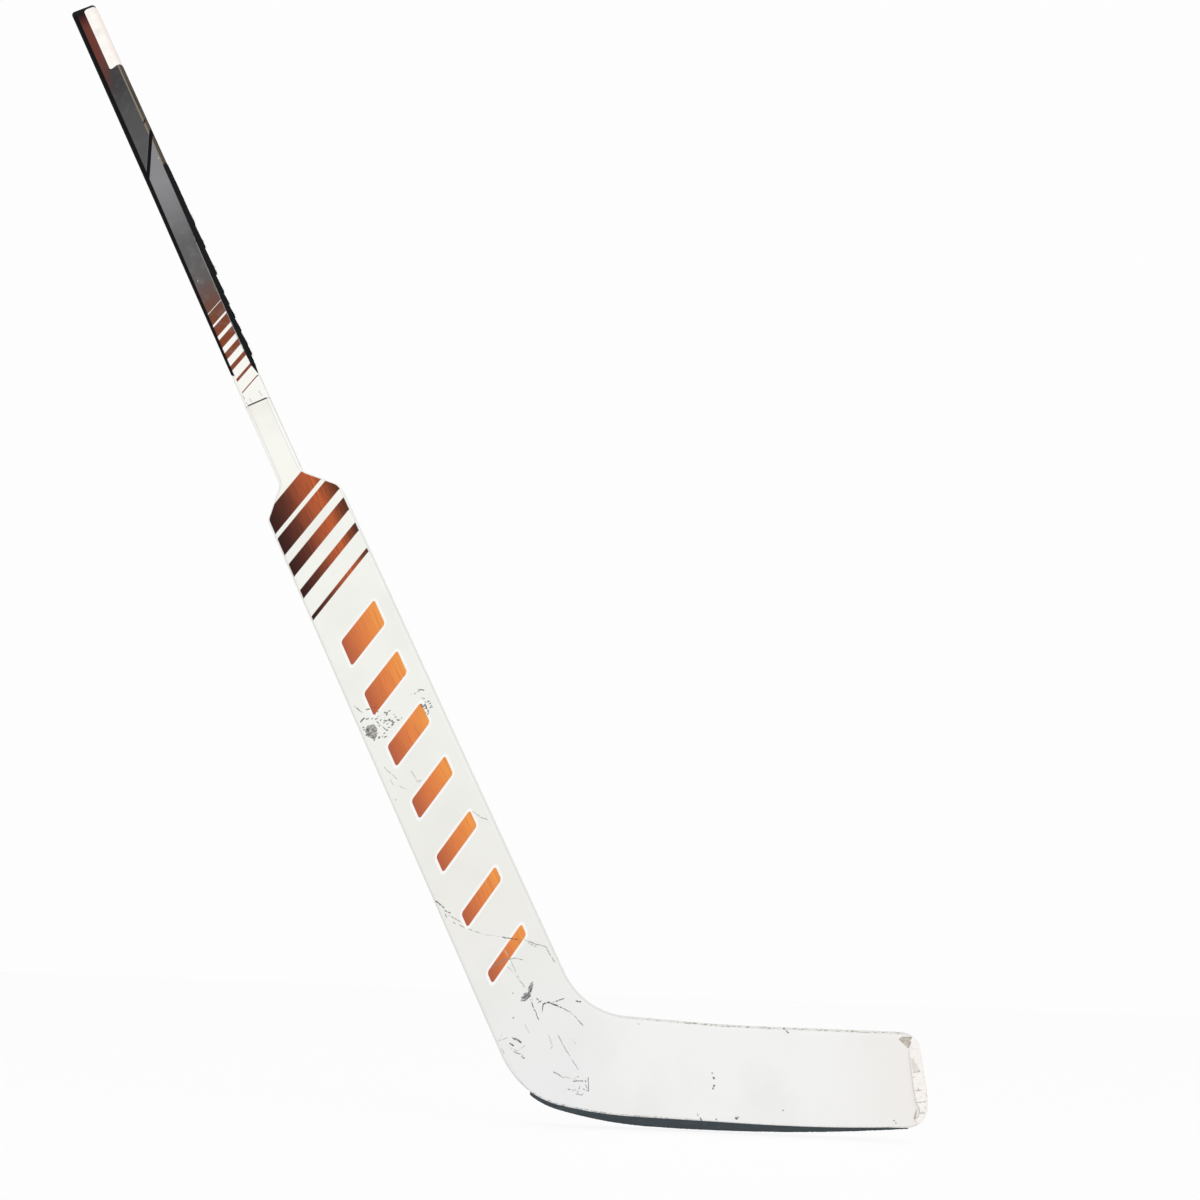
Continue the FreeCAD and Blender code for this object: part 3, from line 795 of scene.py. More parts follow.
# Object coordinates in millimetres: on the plain frame axes, or turned so that the stick stands upright
def framePlace(tree, turn=0.0):
    objectPlace = addNode(tree, "ShaderNodeTexCoord").outputs["Object"]
    return addNode(tree, "ShaderNodeMapping", None, {
        "Vector": objectPlace, "Scale": (1 / millimetre,) * 3, "Rotation": (0, math.radians(turn), 0)})


# Places that coats are laid out by: frame axes, stick axes, and across, through and up the stick
def stickPlaces(tree):
    plain, turned = framePlace(tree), framePlace(tree, stick["lean"])
    axes = addNode(tree, "ShaderNodeSeparateXYZ", None, {"Vector": turned}).outputs
    return SimpleNamespace(plain=plain, turned=turned, offset=axes["X"], depth=axes["Y"], level=axes["Z"])


# Noise in blots as long, deep and high as the size says, turned in the plane of the front
def stretchedNoise(tree, place, size, detail=3.0, turn=0.0):
    stretched = addNode(tree, "ShaderNodeMapping", {"vector_type": "TEXTURE"}, {
        "Vector": place, "Rotation": (0, math.radians(turn), 0), "Scale": size})
    return addNode(tree, "ShaderNodeTexNoise", None, {
        "Vector": stretched, "Scale": 1.0, "Detail": detail}).outputs["Fac"]


# A coordinate shaken by noise of a size, up to a reach each way, and pressed flat onto the front
def shakenPlace(tree, plain, size, reach):
    shaken = addNode(tree, "ShaderNodeTexNoise", None, {"Vector": plain, "Scale": 1 / size, "Detail": 4.0})
    shaken = addNode(tree, "ShaderNodeVectorMath", {"operation": "MULTIPLY_ADD"}, {
        0: shaken.outputs["Color"], 1: (2 * reach, 0, 2 * reach), 2: plain})
    shaken = addNode(tree, "ShaderNodeVectorMath", {"operation": "SUBTRACT"}, {
        0: shaken, 1: (reach, 0, reach)})
    return addNode(tree, "ShaderNodeVectorMath", {"operation": "MULTIPLY"}, {0: shaken, 1: (1, 0, 1)})


# Masks joined into one: their product, or by another operation their highest or lowest
def joinMasks(tree, masks, operation="MULTIPLY"):
    joined = masks[0]
    for mask in masks[1:]:
        joined = addNode(tree, "ShaderNodeMath", {"operation": operation}, {0: joined, 1: mask})
    return joined


# 1 where a value lies between two limits, with a fade at each of them; limits in the dictionaries are
# (low, high, fade)
def withinLimits(tree, value, low, high, fade):
    rise = addNode(tree, "ShaderNodeMapRange", None, {
        "Value": value, "From Min": low - fade / 2, "From Max": low + fade / 2})
    fall = addNode(tree, "ShaderNodeMapRange", None, {
        "Value": value, "From Min": high + fade / 2, "From Max": high - fade / 2})
    return joinMasks(tree, [rise, fall])


# 1 inside a patch with straight sides, from its (x, z) corners
def patchMask(tree, point, corners, fade=(-0.2, 0.3)):
    middle = sum((Vector(corner) for corner in corners), Vector((0, 0))) / len(corners)
    sides = []
    for start, end in zip(corners, corners[1:] + corners[:1]):
        along = (Vector(end) - Vector(start)).normalized()
        inward = Vector((-along.y, along.x))
        if inward.dot(middle - Vector(start)) < 0:
            inward = -inward
        reach = addNode(tree, "ShaderNodeVectorMath", {"operation": "DOT_PRODUCT"}, {
            0: point, 1: (inward.x, 0, inward.y)})
        sides.append(addNode(tree, "ShaderNodeMath", {"operation": "SUBTRACT"}, {
            0: reach.outputs["Value"], 1: inward.dot(Vector(start))}))
    inside = joinMasks(tree, sides, "MINIMUM")
    return addNode(tree, "ShaderNodeMapRange", None, {
        "Value": inside, "From Min": fade[0], "From Max": fade[1]})


# A colour that changes along a value, from (value, colour) stops
def toneAlong(tree, value, stops):
    low, high = stops[0][0], stops[-1][0]
    share = addNode(tree, "ShaderNodeMapRange", None, {"Value": value, "From Min": low, "From Max": high})
    tone = addNode(tree, "ShaderNodeValToRGB", None, {"Fac": share})
    elements = tone.color_ramp.elements
    elements[0].color, elements[1].color = hexColour(stops[0][1]), hexColour(stops[-1][1])
    for at, code in stops[1:-1]:
        elements.new((at - low) / (high - low)).color = hexColour(code)
    return tone


# Lays coats, each a (share, colour), over the base and gives the shader the surface that shows
def dressShader(tree, shader, base, coats, roughness=None, height=None, bump=(0.5, 0.1)):
    colour = hexColour(base) if isinstance(base, str) else base
    for share, coat in coats:
        coat = hexColour(coat) if isinstance(coat, str) else coat
        colour = addNode(tree, "ShaderNodeMix", {"data_type": "RGBA"}, {
            "Factor": share, "A": colour, "B": coat})
    tree.links.new(next(output for output in colour.outputs if output.enabled), shader.inputs["Base Color"])
    if roughness:
        tree.links.new(roughness.outputs[0], shader.inputs["Roughness"])
    if height:
        relief = addNode(tree, "ShaderNodeBump", None, {
            "Strength": bump[0], "Distance": bump[1] * millimetre, "Height": height})
        tree.links.new(relief.outputs[0], shader.inputs["Normal"])


# Distance to the nearest of a row of bars whose thickness grows along the row, in millimetres
def barsGroup():
    tree, given = newGroup("printedBars", "ShaderNodeTree", {
        "Float": ("Along", "Start", "Pitch", "Count", "First", "Last")}, "Float", "Distance")
    shifted = addNode(tree, "ShaderNodeMath", {"operation": "SUBTRACT"}, {
        0: given["Along"], 1: given["Start"]})
    steps = addNode(tree, "ShaderNodeMath", {"operation": "DIVIDE"}, {0: shifted, 1: given["Pitch"]})
    whole = addNode(tree, "ShaderNodeMath", {"operation": "FLOOR"}, {0: steps})
    last = addNode(tree, "ShaderNodeMath", {"operation": "SUBTRACT"}, {0: given["Count"], 1: 1.0})
    index = addNode(tree, "ShaderNodeMath", {"operation": "MINIMUM"}, {0: whole, 1: last})
    index = addNode(tree, "ShaderNodeMath", {"operation": "MAXIMUM"}, {0: index, 1: 0.0})
    centre = addNode(tree, "ShaderNodeMath", {"operation": "ADD"}, {0: index, 1: 0.5})
    centre = addNode(tree, "ShaderNodeMath", {"operation": "MULTIPLY"}, {0: centre, 1: given["Pitch"]})
    fromCentre = addNode(tree, "ShaderNodeMath", {"operation": "SUBTRACT"}, {0: shifted, 1: centre})
    fromCentre = addNode(tree, "ShaderNodeMath", {"operation": "ABSOLUTE"}, {0: fromCentre})
    thickness = addNode(tree, "ShaderNodeMapRange", None, {
        "Value": index, "From Max": last, "To Min": given["First"], "To Max": given["Last"]})
    half = addNode(tree, "ShaderNodeMath", {"operation": "MULTIPLY"}, {0: thickness, 1: 0.5})
    distance = addNode(tree, "ShaderNodeMath", {"operation": "SUBTRACT"}, {0: fromCentre, 1: half})
    addNode(tree, "NodeGroupOutput", None, {"Distance": distance})
    return tree


# One straight scratch from Start to End. The point's y carries the strongest scratch so far, so that the
# renderer works through them one after the other and never holds many at a time.
def scratchGroup():
    tree, given = newGroup("scratchLine", "ShaderNodeTree", {
        "Vector": ("Point", "Start", "End"), "Float": ("Width",)}, "Vector", "Point")
    flat = addNode(tree, "ShaderNodeVectorMath", {"operation": "MULTIPLY"}, {0: given["Point"], 1: (1, 0, 1)})
    reach = addNode(tree, "ShaderNodeVectorMath", {"operation": "SUBTRACT"}, {0: flat, 1: given["Start"]})
    line = addNode(tree, "ShaderNodeVectorMath", {"operation": "SUBTRACT"}, {
        0: given["End"], 1: given["Start"]})
    dot = addNode(tree, "ShaderNodeVectorMath", {"operation": "DOT_PRODUCT"}, {0: reach, 1: line})
    square = addNode(tree, "ShaderNodeVectorMath", {"operation": "DOT_PRODUCT"}, {0: line, 1: line})
    share = addNode(tree, "ShaderNodeMath", {"operation": "DIVIDE", "use_clamp": True}, {
        0: dot.outputs["Value"], 1: square.outputs["Value"]})
    foot = addNode(tree, "ShaderNodeVectorMath", {"operation": "SCALE"}, {0: line, "Scale": share})
    gap = addNode(tree, "ShaderNodeVectorMath", {"operation": "DISTANCE"}, {0: reach, 1: foot})
    core = addNode(tree, "ShaderNodeMath", {"operation": "MULTIPLY"}, {0: given["Width"], 1: 0.4})
    mark = addNode(tree, "ShaderNodeMapRange", {"interpolation_type": "SMOOTHSTEP"}, {
        "Value": gap.outputs["Value"], "From Min": given["Width"], "From Max": core})
    parts = addNode(tree, "ShaderNodeSeparateXYZ", None, {"Vector": given["Point"]})
    strongest = addNode(tree, "ShaderNodeMath", {"operation": "MAXIMUM"}, {0: parts.outputs["Y"], 1: mark})
    passed = addNode(tree, "ShaderNodeCombineXYZ", None, {
        "X": parts.outputs["X"], "Y": strongest, "Z": parts.outputs["Z"]})
    addNode(tree, "NodeGroupOutput", None, {"Point": passed})
    return tree


bars, scratch = barsGroup(), scratchGroup()


# 1 on any of the strokes, each given as a width and the (x, z) points that it runs through
def strokesMask(tree, flat, strokes):
    point = flat
    for width, *places in strokes:
        for start, end in zip(places, places[1:]):
            point = addNode(tree, "ShaderNodeGroup", {"node_tree": scratch}, {
                "Point": point, "Start": (start[0], 0, start[1]), "End": (end[0], 0, end[1]), "Width": width})
    return addNode(tree, "ShaderNodeSeparateXYZ", None, {"Vector": point}).outputs["Y"]


# Printed bars of the stick: one slant for all of them, and fine streaks drawn along the stick
printedBars = {
    "slant": -0.55, "softEdge": 0.35, "outline": 2.6, "outlineShare": 0.85, "border": 2.2,
    "streakSize": (0.7, 1, 34.0),
    "shoulder": {"Start": 566.0, "Pitch": 30.0, "Count": 5.0, "First": 5.0, "Last": 27.0},
    "shoulderTones": ((0, "#35130f"), (12, "#4a2118"), (28, "#703420"), (48, "#b8572a"), (62, "#d0622b"),
                      (76, "#8a431f"), (88, "#46210f")),
    "paddle": {"Start": 122.7, "Pitch": 61.0, "Count": 7.0, "First": 12.0, "Last": 30.0},
    "paddleMiddle": 45.0, "paddleHalfWidth": 25.0, "paddleCorner": 3.0,
    "paddleTones": ((20, "#b55a3c"), (45, "#ea8440"), (70, "#fba246")),
    "shaft": {"Start": 838.0, "Pitch": 17.0, "Count": 7.0, "First": 1.6, "Last": 15.5},
}

# Marks that use has left on the front, each as a width and the (x, z) points that it runs through
wearMarks = {
    "dark": [
        (0.6, (-7, 114.4), (-3, 105.4), (1.8, 96.2)), (0.6, (-0.9, 115.4), (0.9, 113.8)),
        (0.6, (0.1, 111.3), (3.5, 113.9)), (0.7, (4.5, 103.2), (5.8, 109.8)),
        (0.9, (5.7, 110.7), (11.4, 112.5)), (0.9, (12.3, 111.7), (22.9, 108.3)),
        (0.7, (15.7, 112.7), (25.1, 116.3)), (1.1, (37.7, 114.6), (42.1, 114)),
        (0.8, (-22.9, 96.8), (-21.7, 97.6)), (0.7, (-24.7, 119.5), (-24.5, 119.7)),
        (1.3, (-22.4, 78.8), (-14.4, 74.6)), (1.0, (-24.7, 73), (-21.4, 71.1)),
        (1.1, (-12.8, 61.7), (-10.5, 60.7)), (1.2, (172.6, 49.3), (172.8, 48.6)),
        (1.1, (173.1, 42.4), (172.9, 41.4)), (1.2, (172.3, 39.9), (172, 39.2)),
        (0.9, (170.5, 53.5), (170.8, 53)), (1.5, (193.6, 14.3), (194.4, 13.8)),
        (0.9, (196, 15.4), (196.2, 15.1)), (0.8, (160.2, 12.9), (161.1, 10.9)),
        (0.8, (157.6, 16.1), (158.2, 15.5)), (0.7, (174.8, 12.5), (175.3, 12.3)),
        (0.7, (98.9, 95.5), (99.4, 95.1)), (0.8, (239.9, 96.3), (244.3, 92.7)),
        (0.9, (238.3, 22.7), (238.7, 22.5)), (0.7, (340.7, 18.5), (340.9, 18.2)),
        (0.8, (342.4, 16.5), (342.6, 16.1)), (1.1, (-197.7, 383.9), (-194.8, 387.3)),
        (0.8, (-192.3, 386.9), (-189.9, 387.8)), (1.1, (-193.2, 396.5), (-190.3, 397.7)),
        (0.8, (-187, 391.2), (-183.8, 392.1)), (0.5, (-181.5, 384.5), (-169.3, 375)),
        (0.8, (-185.2, 398.9), (-184.9, 399.1)), (0.8, (-180.8, 394.9), (-180.5, 395)),
        (0.6, (-144.4, 415.1), (-139.5, 419.1)), (0.7, (-141.2, 420.2), (-134.6, 419.8)),
        (0.7, (-148.2, 414.6), (-147.9, 414.7)), (0.7, (-134.4, 410.3), (-133.4, 410.7)),
        (0.7, (-132.1, 403.5), (-129.8, 399.5)), (0.7, (-126.7, 401.2), (-124, 401.8)),
        (0.7, (-129.1, 394), (-128, 397)), (0.8, (-106.4, 204.7), (-98, 198.6)),
        (0.7, (-97.1, 195.9), (-91.2, 193.6)), (0.7, (-38, 172.2), (-23.6, 170.6)),
    ],
    "grey": [
        (0.7, (-46.1, 142.5), (-42, 146.5), (-36.9, 149.8), (-30.8, 151.5), (-24.8, 152.6), (-17.3, 151.6)),
        (0.6, (-20.8, 65.8), (-11.2, 62.6)), (0.5, (21.8, 81.7), (30.7, 67.3)),
        (0.4, (30.7, 67.3), (42.5, 51.6)), (0.7, (18.7, 48.8), (28.3, 43.9)),
        (0.7, (38.7, 41), (49.8, 42.2)), (0.7, (52.2, 44.7), (52.7, 32.8)),
        (0.6, (33.5, 33.8), (38.6, 32.8)), (0.6, (37.7, 41.6), (50.4, 41.2)),
        (0.5, (39.4, 44.2), (42.9, 45.7)), (0.5, (49.6, 38.6), (51.5, 35.3)),
        (0.5, (37.8, 38.2), (41.1, 32.3)), (0.5, (44.2, 36.7), (42.7, 30.7)),
        (0.5, (40.9, 29.8), (46.3, 28.8), (48.1, 30.9)), (0.5, (47, 34.3), (53.1, 32.8)),
        (0.6, (22.9, 108.3), (31.7, 104.2), (38.9, 98.7), (44.7, 92.6)),
        (0.7, (-205.7, 399.7), (-196.1, 393)), (0.6, (-96.2, 193.1), (-94.5, 189.7)),
        (0.7, (-92.4, 191.1), (-79.1, 185.3)), (0.5, (-87.7, 184.7), (-75.8, 179.9), (-56.8, 174.3)),
        (0.6, (-15.6, 170.2), (6.8, 164.1)), (0.6, (-11.9, 167.6), (-3.9, 164.4)),
        (0.6, (6.9, 162.7), (10.8, 156.7)), (0.6, (12.3, 154.7), (15.3, 150.6)),
        (0.5, (-75.5, 295), (-67.8, 290.1), (-59.4, 286.8)), (0.6, (-133.8, 323.2), (-129.5, 325.6)),
        (0.8, (-155.5, 304), (-155, 304.1)),
    ],
    "faint": [
        (0.6, (-35.8, 162), (-31, 154.5)), (0.6, (-31.3, 144.4), (-24, 138.8), (-14.6, 126.6)),
        (0.6, (-29.1, 151.2), (-20.4, 136.4), (-12.8, 125)), (0.6, (12, 82.1), (15.8, 74.1)),
        (0.6, (36.3, 78.9), (38.5, 75.4)), (0.7, (-32.5, 83.2), (-36.4, 74.1)),
        (0.7, (-32.9, 68.1), (-29.9, 63.9)), (0.6, (-11.3, 91.5), (-6.8, 83.4)),
        (0.6, (-36.1, 74.9), (-27.1, 78.7)), (0.6, (-27.6, 70.9), (-17.3, 66.1), (-10.2, 71.5)),
        (0.6, (16.2, 72.5), (14.5, 69.8)), (0.7, (29.1, 44.7), (41.2, 42.7)),
        (0.8, (-169.2, 336.9), (-155.6, 325.5)), (0.7, (-162.2, 325.2), (-158.8, 319.4)),
        (0.7, (-152, 318.1), (-144.3, 315.4)), (0.8, (-141.4, 334.2), (-133.8, 323.2)),
        (0.5, (-56.8, 174.3), (-38, 172.2)),
    ],
    # paint knocked off down to the laminate, as the (x, z) corners of each patch
    "bruises": [
        [(-16.7, 111.5), (-15.8, 116.5), (-10.7, 120), (-6.5, 122.7), (-7.1, 116.8), (-12.1, 112.5)],
        [(-10.1, 123.4), (-8.6, 128.4), (-5.6, 131.1), (-5, 127.7), (-6.4, 120.2), (-8.9, 118.4)],
    ],
    "scuffs": [
        [(-192.7, 373.4), (-190.9, 380), (-184.5, 381.9), (-180.5, 377.9), (-179.5, 370.6), (-181.5, 365.6),
         (-187.3, 367), (-190.7, 369.4)],
    ],
    "toeChips": [
        [(348.9, 90.4), (352.8, 93.3), (362.9, 93.4), (360.8, 87.8), (358, 81.8), (353, 86.9)],
        [(358.8, 21.1), (360.3, 25.8), (362.2, 29.7), (363.3, 29), (361.8, 24.3), (361, 19.3)],
    ],
    # places full of short dashes, as (x, z, half length, half height, turn in degrees)
    "dashed": [
        (-175.7, 392.3, 15, 6, 34), (-168, 388.3, 13, 6, 38), (-167.4, 380.9, 7, 4, 30),
        (-187, 374, 10, 9, 0), (-170, 384, 17, 11, 36), (-177, 370, 10, 7, 20), (-10, 121, 8, 10, 20),
        (-133, 404, 9, 11, 0),
    ],
    "dashLength": 4.0, "dashWidth": 1.8, "dashTurn": 31.0, "dashShape": {"From Min": 0.45, "From Max": 0.33},
    "dashPlace": {"From Min": 1.0, "From Max": 0.2}, "dashChance": {"To Min": 1.02, "To Max": 0.0},
    "scratchTones": (("faint", "#bdbdb8", 0.8), ("grey", "#858685", 0.9), ("dark", "#484b4d", 0.95)),
    "patchTones": (("bruises", ((0.44, "#4a4d50"), (0.56, "#c5c6c6"))),
                   ("scuffs", ((0.4, "#6a6863"), (0.58, "#c9c6be"))),
                   ("toeChips", ((0.36, "#989184"), (0.6, "#c9c2b3")))),
}


# Level along the slanted rows of bars, true at the middle of the stick
def barLevel(tree, at):
    slant = printedBars["slant"]
    slanted = addNode(tree, "ShaderNodeMath", {"operation": "MULTIPLY_ADD"}, {
        0: at.offset, 1: slant, 2: at.level})
    return addNode(tree, "ShaderNodeMath", {"operation": "SUBTRACT"}, {
        0: slanted, 1: slant * stick["midLine"]})


# Dark resin pressed out along the seam, on both sides of it
seamResin = {"tone": "#2a292b", "offsets": (31.6, 53.9, 1.0), "levels": (820.2, 822.4, 0.4)}


def seamMask(tree, at, front):
    return joinMasks(tree, [front, withinLimits(tree, at.offset, *seamResin["offsets"]),
                            withinLimits(tree, at.level, *seamResin["levels"])])


# Paint of the moulded body. Fades are written as the Map Range inputs that they become.
paint = {
    "tones": ((40, "#eeeeee"), (200, "#efeee9"), (450, "#f3f3ee"), (640, "#f6f6f0"), (740, "#faf9f2")),
    "blade": {"From Min": 20.0, "From Max": 120.0},
    "toe": {"From Min": 260.0, "From Max": 370.0, "To Max": 0.8},
    "cloudSize": 70.0, "grime": {"From Min": 0.48, "From Max": 0.75, "To Max": 0.35},
    # the next three entries place the painted grey shade line along the rounded edge and the painted
    # highlight outside it
    "shadeLinePlace": {"From Min": 600.0, "From Max": 760.0, "To Min": 1.2, "To Max": 3.5},
    "outside": {"From Min": 0.3, "From Max": -0.5, "To Max": 0.7},
    "line": {"From Min": 1.0, "From Max": 0.0, "To Max": 0.32},
    "streaks": {"From Min": 0.42, "From Max": 0.68, "To Max": 0.55},
    "fleckSize": (3.4, 1.5, 1.5), "flecks": {"From Min": 0.52, "From Max": 0.58},
    "fleckInset": (0.1, 1.8, 0.8), "topSpan": (70, 352, 20), "topHeight": (80, 100, 4), "topShare": 0.85,
    "lowHeight": (-5, 40, 8), "lowShare": {"From Min": 90.0, "From Max": 190.0, "To Min": 0.6, "To Max": 0.2},
    "stain": {"From Min": 800.0, "From Max": 821.0, "To Max": 0.7}, "seamShare": 0.9,
    "shakeSize": 5.0, "shakeReach": 1.2, "breakSize": 2.4, "breaks": {"From Min": 0.36, "From Max": 0.5},
    "fibreSize": (5.0, 1, 1.1), "patchShare": 0.95, "dashShare": 0.85,
    "satin": 0.34, "wornRoughness": 0.7, "peelSize": 3.5,
}


# Cooler white on the blade, creamy at the toe, and clouds of grime from hands
def toneCoats(tree, at):
    bladeShare = addNode(tree, "ShaderNodeMapRange", {"interpolation_type": "SMOOTHSTEP"}, {
        "Value": at.x, **paint["blade"]})
    toeShare = addNode(tree, "ShaderNodeMapRange", {"interpolation_type": "SMOOTHSTEP"}, {
        "Value": at.x, **paint["toe"]})
    cloud = addNode(tree, "ShaderNodeTexNoise", None, {
        "Vector": at.plain, "Scale": 1 / paint["cloudSize"], "Detail": 4.0})
    at.grime = addNode(tree, "ShaderNodeMapRange", None, {"Value": cloud, **paint["grime"]})
    return [(bladeShare, "#f4f4f3"), (toeShare, "#f0ece8"), (at.grime, "#e2e1dc")]


# Whiter outer edge, a painted highlight, and the soft grey line inside it, painted shade along the rounded
# edge, which runs out to the edge below the neck
def edgeShadeAndHighlightCoats(tree, at):
    shadeLinePlace = addNode(tree, "ShaderNodeMapRange", None, {"Value": at.level, **paint["shadeLinePlace"]})
    fromLine = addNode(tree, "ShaderNodeMath", {"operation": "SUBTRACT"}, {0: at.rim, 1: shadeLinePlace})
    outside = addNode(tree, "ShaderNodeMapRange", None, {"Value": fromLine, **paint["outside"]})
    fromLine = addNode(tree, "ShaderNodeMath", {"operation": "ABSOLUTE"}, {0: fromLine})
    line = addNode(tree, "ShaderNodeMapRange", {"interpolation_type": "SMOOTHSTEP"}, {
        "Value": fromLine, **paint["line"]})
    return [(outside, "#fbfbf8"), (line, "#b4b4b0")]


# Fine streaks that run along the stick inside the bars
def barStreaks(tree, at):
    streaks = stretchedNoise(tree, at.turned, printedBars["streakSize"])
    return addNode(tree, "ShaderNodeMapRange", None, {"Value": streaks, **paint["streaks"]})


# Shoulder bars, dark at both sides and copper between
def shoulderCoats(tree, at):
    soft, border = printedBars["softEdge"], printedBars["border"]
    shoulder = addNode(tree, "ShaderNodeGroup", {"node_tree": bars}, {
        "Along": at.slanted, **printedBars["shoulder"]})
    inBorder = addNode(tree, "ShaderNodeMapRange", None, {
        "Value": at.rim, "From Min": border - soft, "From Max": border + soft})
    inBars = addNode(tree, "ShaderNodeMapRange", None, {
        "Value": shoulder, "From Min": soft, "From Max": -soft})
    mask = joinMasks(tree, [inBars, inBorder])
    return [(mask, toneAlong(tree, at.offset, printedBars["shoulderTones"])),
            (joinMasks(tree, [mask, at.streaks]), "#3f1a10")]


# Paddle bars with rounded corners, copper at the left and orange at the right, on a whiter outline
def paddleCoats(tree, at):
    soft, corner, outlined = (printedBars[key] for key in ("softEdge", "paddleCorner", "outline"))
    paddle = addNode(tree, "ShaderNodeGroup", {"node_tree": bars}, {
        "Along": at.slanted, **printedBars["paddle"]})
    beside = addNode(tree, "ShaderNodeMath", {"operation": "SUBTRACT"}, {
        0: at.offset, 1: printedBars["paddleMiddle"]})
    beside = addNode(tree, "ShaderNodeMath", {"operation": "ABSOLUTE"}, {0: beside})
    beside = addNode(tree, "ShaderNodeMath", {"operation": "SUBTRACT"}, {
        0: beside, 1: printedBars["paddleHalfWidth"] - corner})
    past = addNode(tree, "ShaderNodeMath", {"operation": "ADD"}, {0: paddle, 1: corner})
    outside = addNode(tree, "ShaderNodeCombineXYZ", None, {
        "X": addNode(tree, "ShaderNodeMath", {"operation": "MAXIMUM"}, {0: beside, 1: 0.0}),
        "Y": addNode(tree, "ShaderNodeMath", {"operation": "MAXIMUM"}, {0: past, 1: 0.0})})
    reach = addNode(tree, "ShaderNodeVectorMath", {"operation": "LENGTH"}, {0: outside}).outputs["Value"]
    mask = addNode(tree, "ShaderNodeMapRange", None, {
        "Value": reach, "From Min": corner + soft, "From Max": corner - soft})
    outline = addNode(tree, "ShaderNodeMapRange", None, {
        "Value": reach, "From Min": corner + outlined + soft, "From Max": corner + outlined - soft,
        "To Max": printedBars["outlineShare"]})
    return [(outline, "#fdfdfb"), (mask, toneAlong(tree, at.offset, printedBars["paddleTones"])),
            (joinMasks(tree, [mask, at.streaks]), "#c2602f")]


# Paint gone in flecks along the blade's top edge, and rubbed spots above the wear strip and round the heel
def fleckCoats(tree, at):
    flecks = stretchedNoise(tree, at.plain, paint["fleckSize"])
    flecks = addNode(tree, "ShaderNodeMapRange", None, {"Value": flecks, **paint["flecks"]})
    atEdge = withinLimits(tree, at.rim, *paint["fleckInset"])
    topFlecks = joinMasks(tree, [flecks, atEdge, withinLimits(tree, at.x, *paint["topSpan"]),
                                 withinLimits(tree, at.z, *paint["topHeight"]), paint["topShare"]])
    fewer = addNode(tree, "ShaderNodeMapRange", None, {"Value": at.x, **paint["lowShare"]})
    lowFlecks = joinMasks(tree, [flecks, atEdge, withinLimits(tree, at.z, *paint["lowHeight"]), fewer])
    return [(topFlecks, "#a3967f"), (lowFlecks, "#85888a")]


# Resin at the seam, with stains below it
def seamCoats(tree, at):
    resinLine = joinMasks(tree, [seamMask(tree, at, at.isFront), paint["seamShare"]])
    stain = addNode(tree, "ShaderNodeMapRange", None, {"Value": at.level, **paint["stain"]})
    return [(joinMasks(tree, [stain, at.grime, at.isFront]), "#c3b69c"), (resinLine, seamResin["tone"])]


# Scratches, broken up along their length
def scratchCoats(tree, at):
    broken = addNode(tree, "ShaderNodeTexNoise", None, {
        "Vector": at.plain, "Scale": 1 / paint["breakSize"], "Detail": 3.0})
    broken = addNode(tree, "ShaderNodeMapRange", None, {"Value": broken, **paint["breaks"]})
    coats = []
    for kind, tone, strength in wearMarks["scratchTones"]:
        strokes = strokesMask(tree, at.flat, wearMarks[kind])
        coats.append((joinMasks(tree, [strokes, broken, at.isFront, strength]), tone))
    return coats


# Bruises, scuffs and chips, which show streaky laminate
def patchCoats(tree, at):
    fibres = stretchedNoise(tree, at.plain, paint["fibreSize"], turn=-wearMarks["dashTurn"])
    coats = []
    for kind, stops in wearMarks["patchTones"]:
        point = at.plain if kind == "toeChips" else at.flat
        patches = joinMasks(tree, [patchMask(tree, point, corners) for corners in wearMarks[kind]], "MAXIMUM")
        mask = joinMasks(tree, [patches, at.isFront, paint["patchShare"]])
        coats.append((mask, toneAlong(tree, fibres, stops)))
    return coats


# Short dashes, all one way, thick in the middle of each place and few at its border
def dashCoats(tree, at):
    dashes = addNode(tree, "ShaderNodeMapping", {"vector_type": "TEXTURE"}, {
        "Vector": at.flat, "Rotation": (0, math.radians(-wearMarks["dashTurn"]), 0),
        "Scale": (wearMarks["dashLength"], 1, wearMarks["dashWidth"])})
    dashes = addNode(tree, "ShaderNodeTexVoronoi", None, {"Vector": dashes, "Scale": 1.0})
    shape = addNode(tree, "ShaderNodeMapRange", None, {
        "Value": dashes.outputs["Distance"], **wearMarks["dashShape"]})
    chance = addNode(tree, "ShaderNodeSeparateColor", None, {"Color": dashes.outputs["Color"]})
    places = []
    for x, z, halfLength, halfHeight, turn in wearMarks["dashed"]:
        local = addNode(tree, "ShaderNodeMapping", {"vector_type": "TEXTURE"}, {
            "Vector": at.flat, "Location": (x, 0, z), "Rotation": (0, math.radians(-turn), 0),
            "Scale": (halfLength, 1, halfHeight)})
        radius = addNode(tree, "ShaderNodeVectorMath", {"operation": "LENGTH"}, {0: local}).outputs["Value"]
        places.append(addNode(tree, "ShaderNodeMapRange", None, {"Value": radius, **wearMarks["dashPlace"]}))
    needed = addNode(tree, "ShaderNodeMapRange", None, {
        "Value": joinMasks(tree, places, "MAXIMUM"), **wearMarks["dashChance"]})
    picked = addNode(tree, "ShaderNodeMath", {"operation": "GREATER_THAN"}, {0: chance, 1: needed})
    return [(joinMasks(tree, [shape, picked, at.isFront, paint["dashShare"]]), "#56595a")]
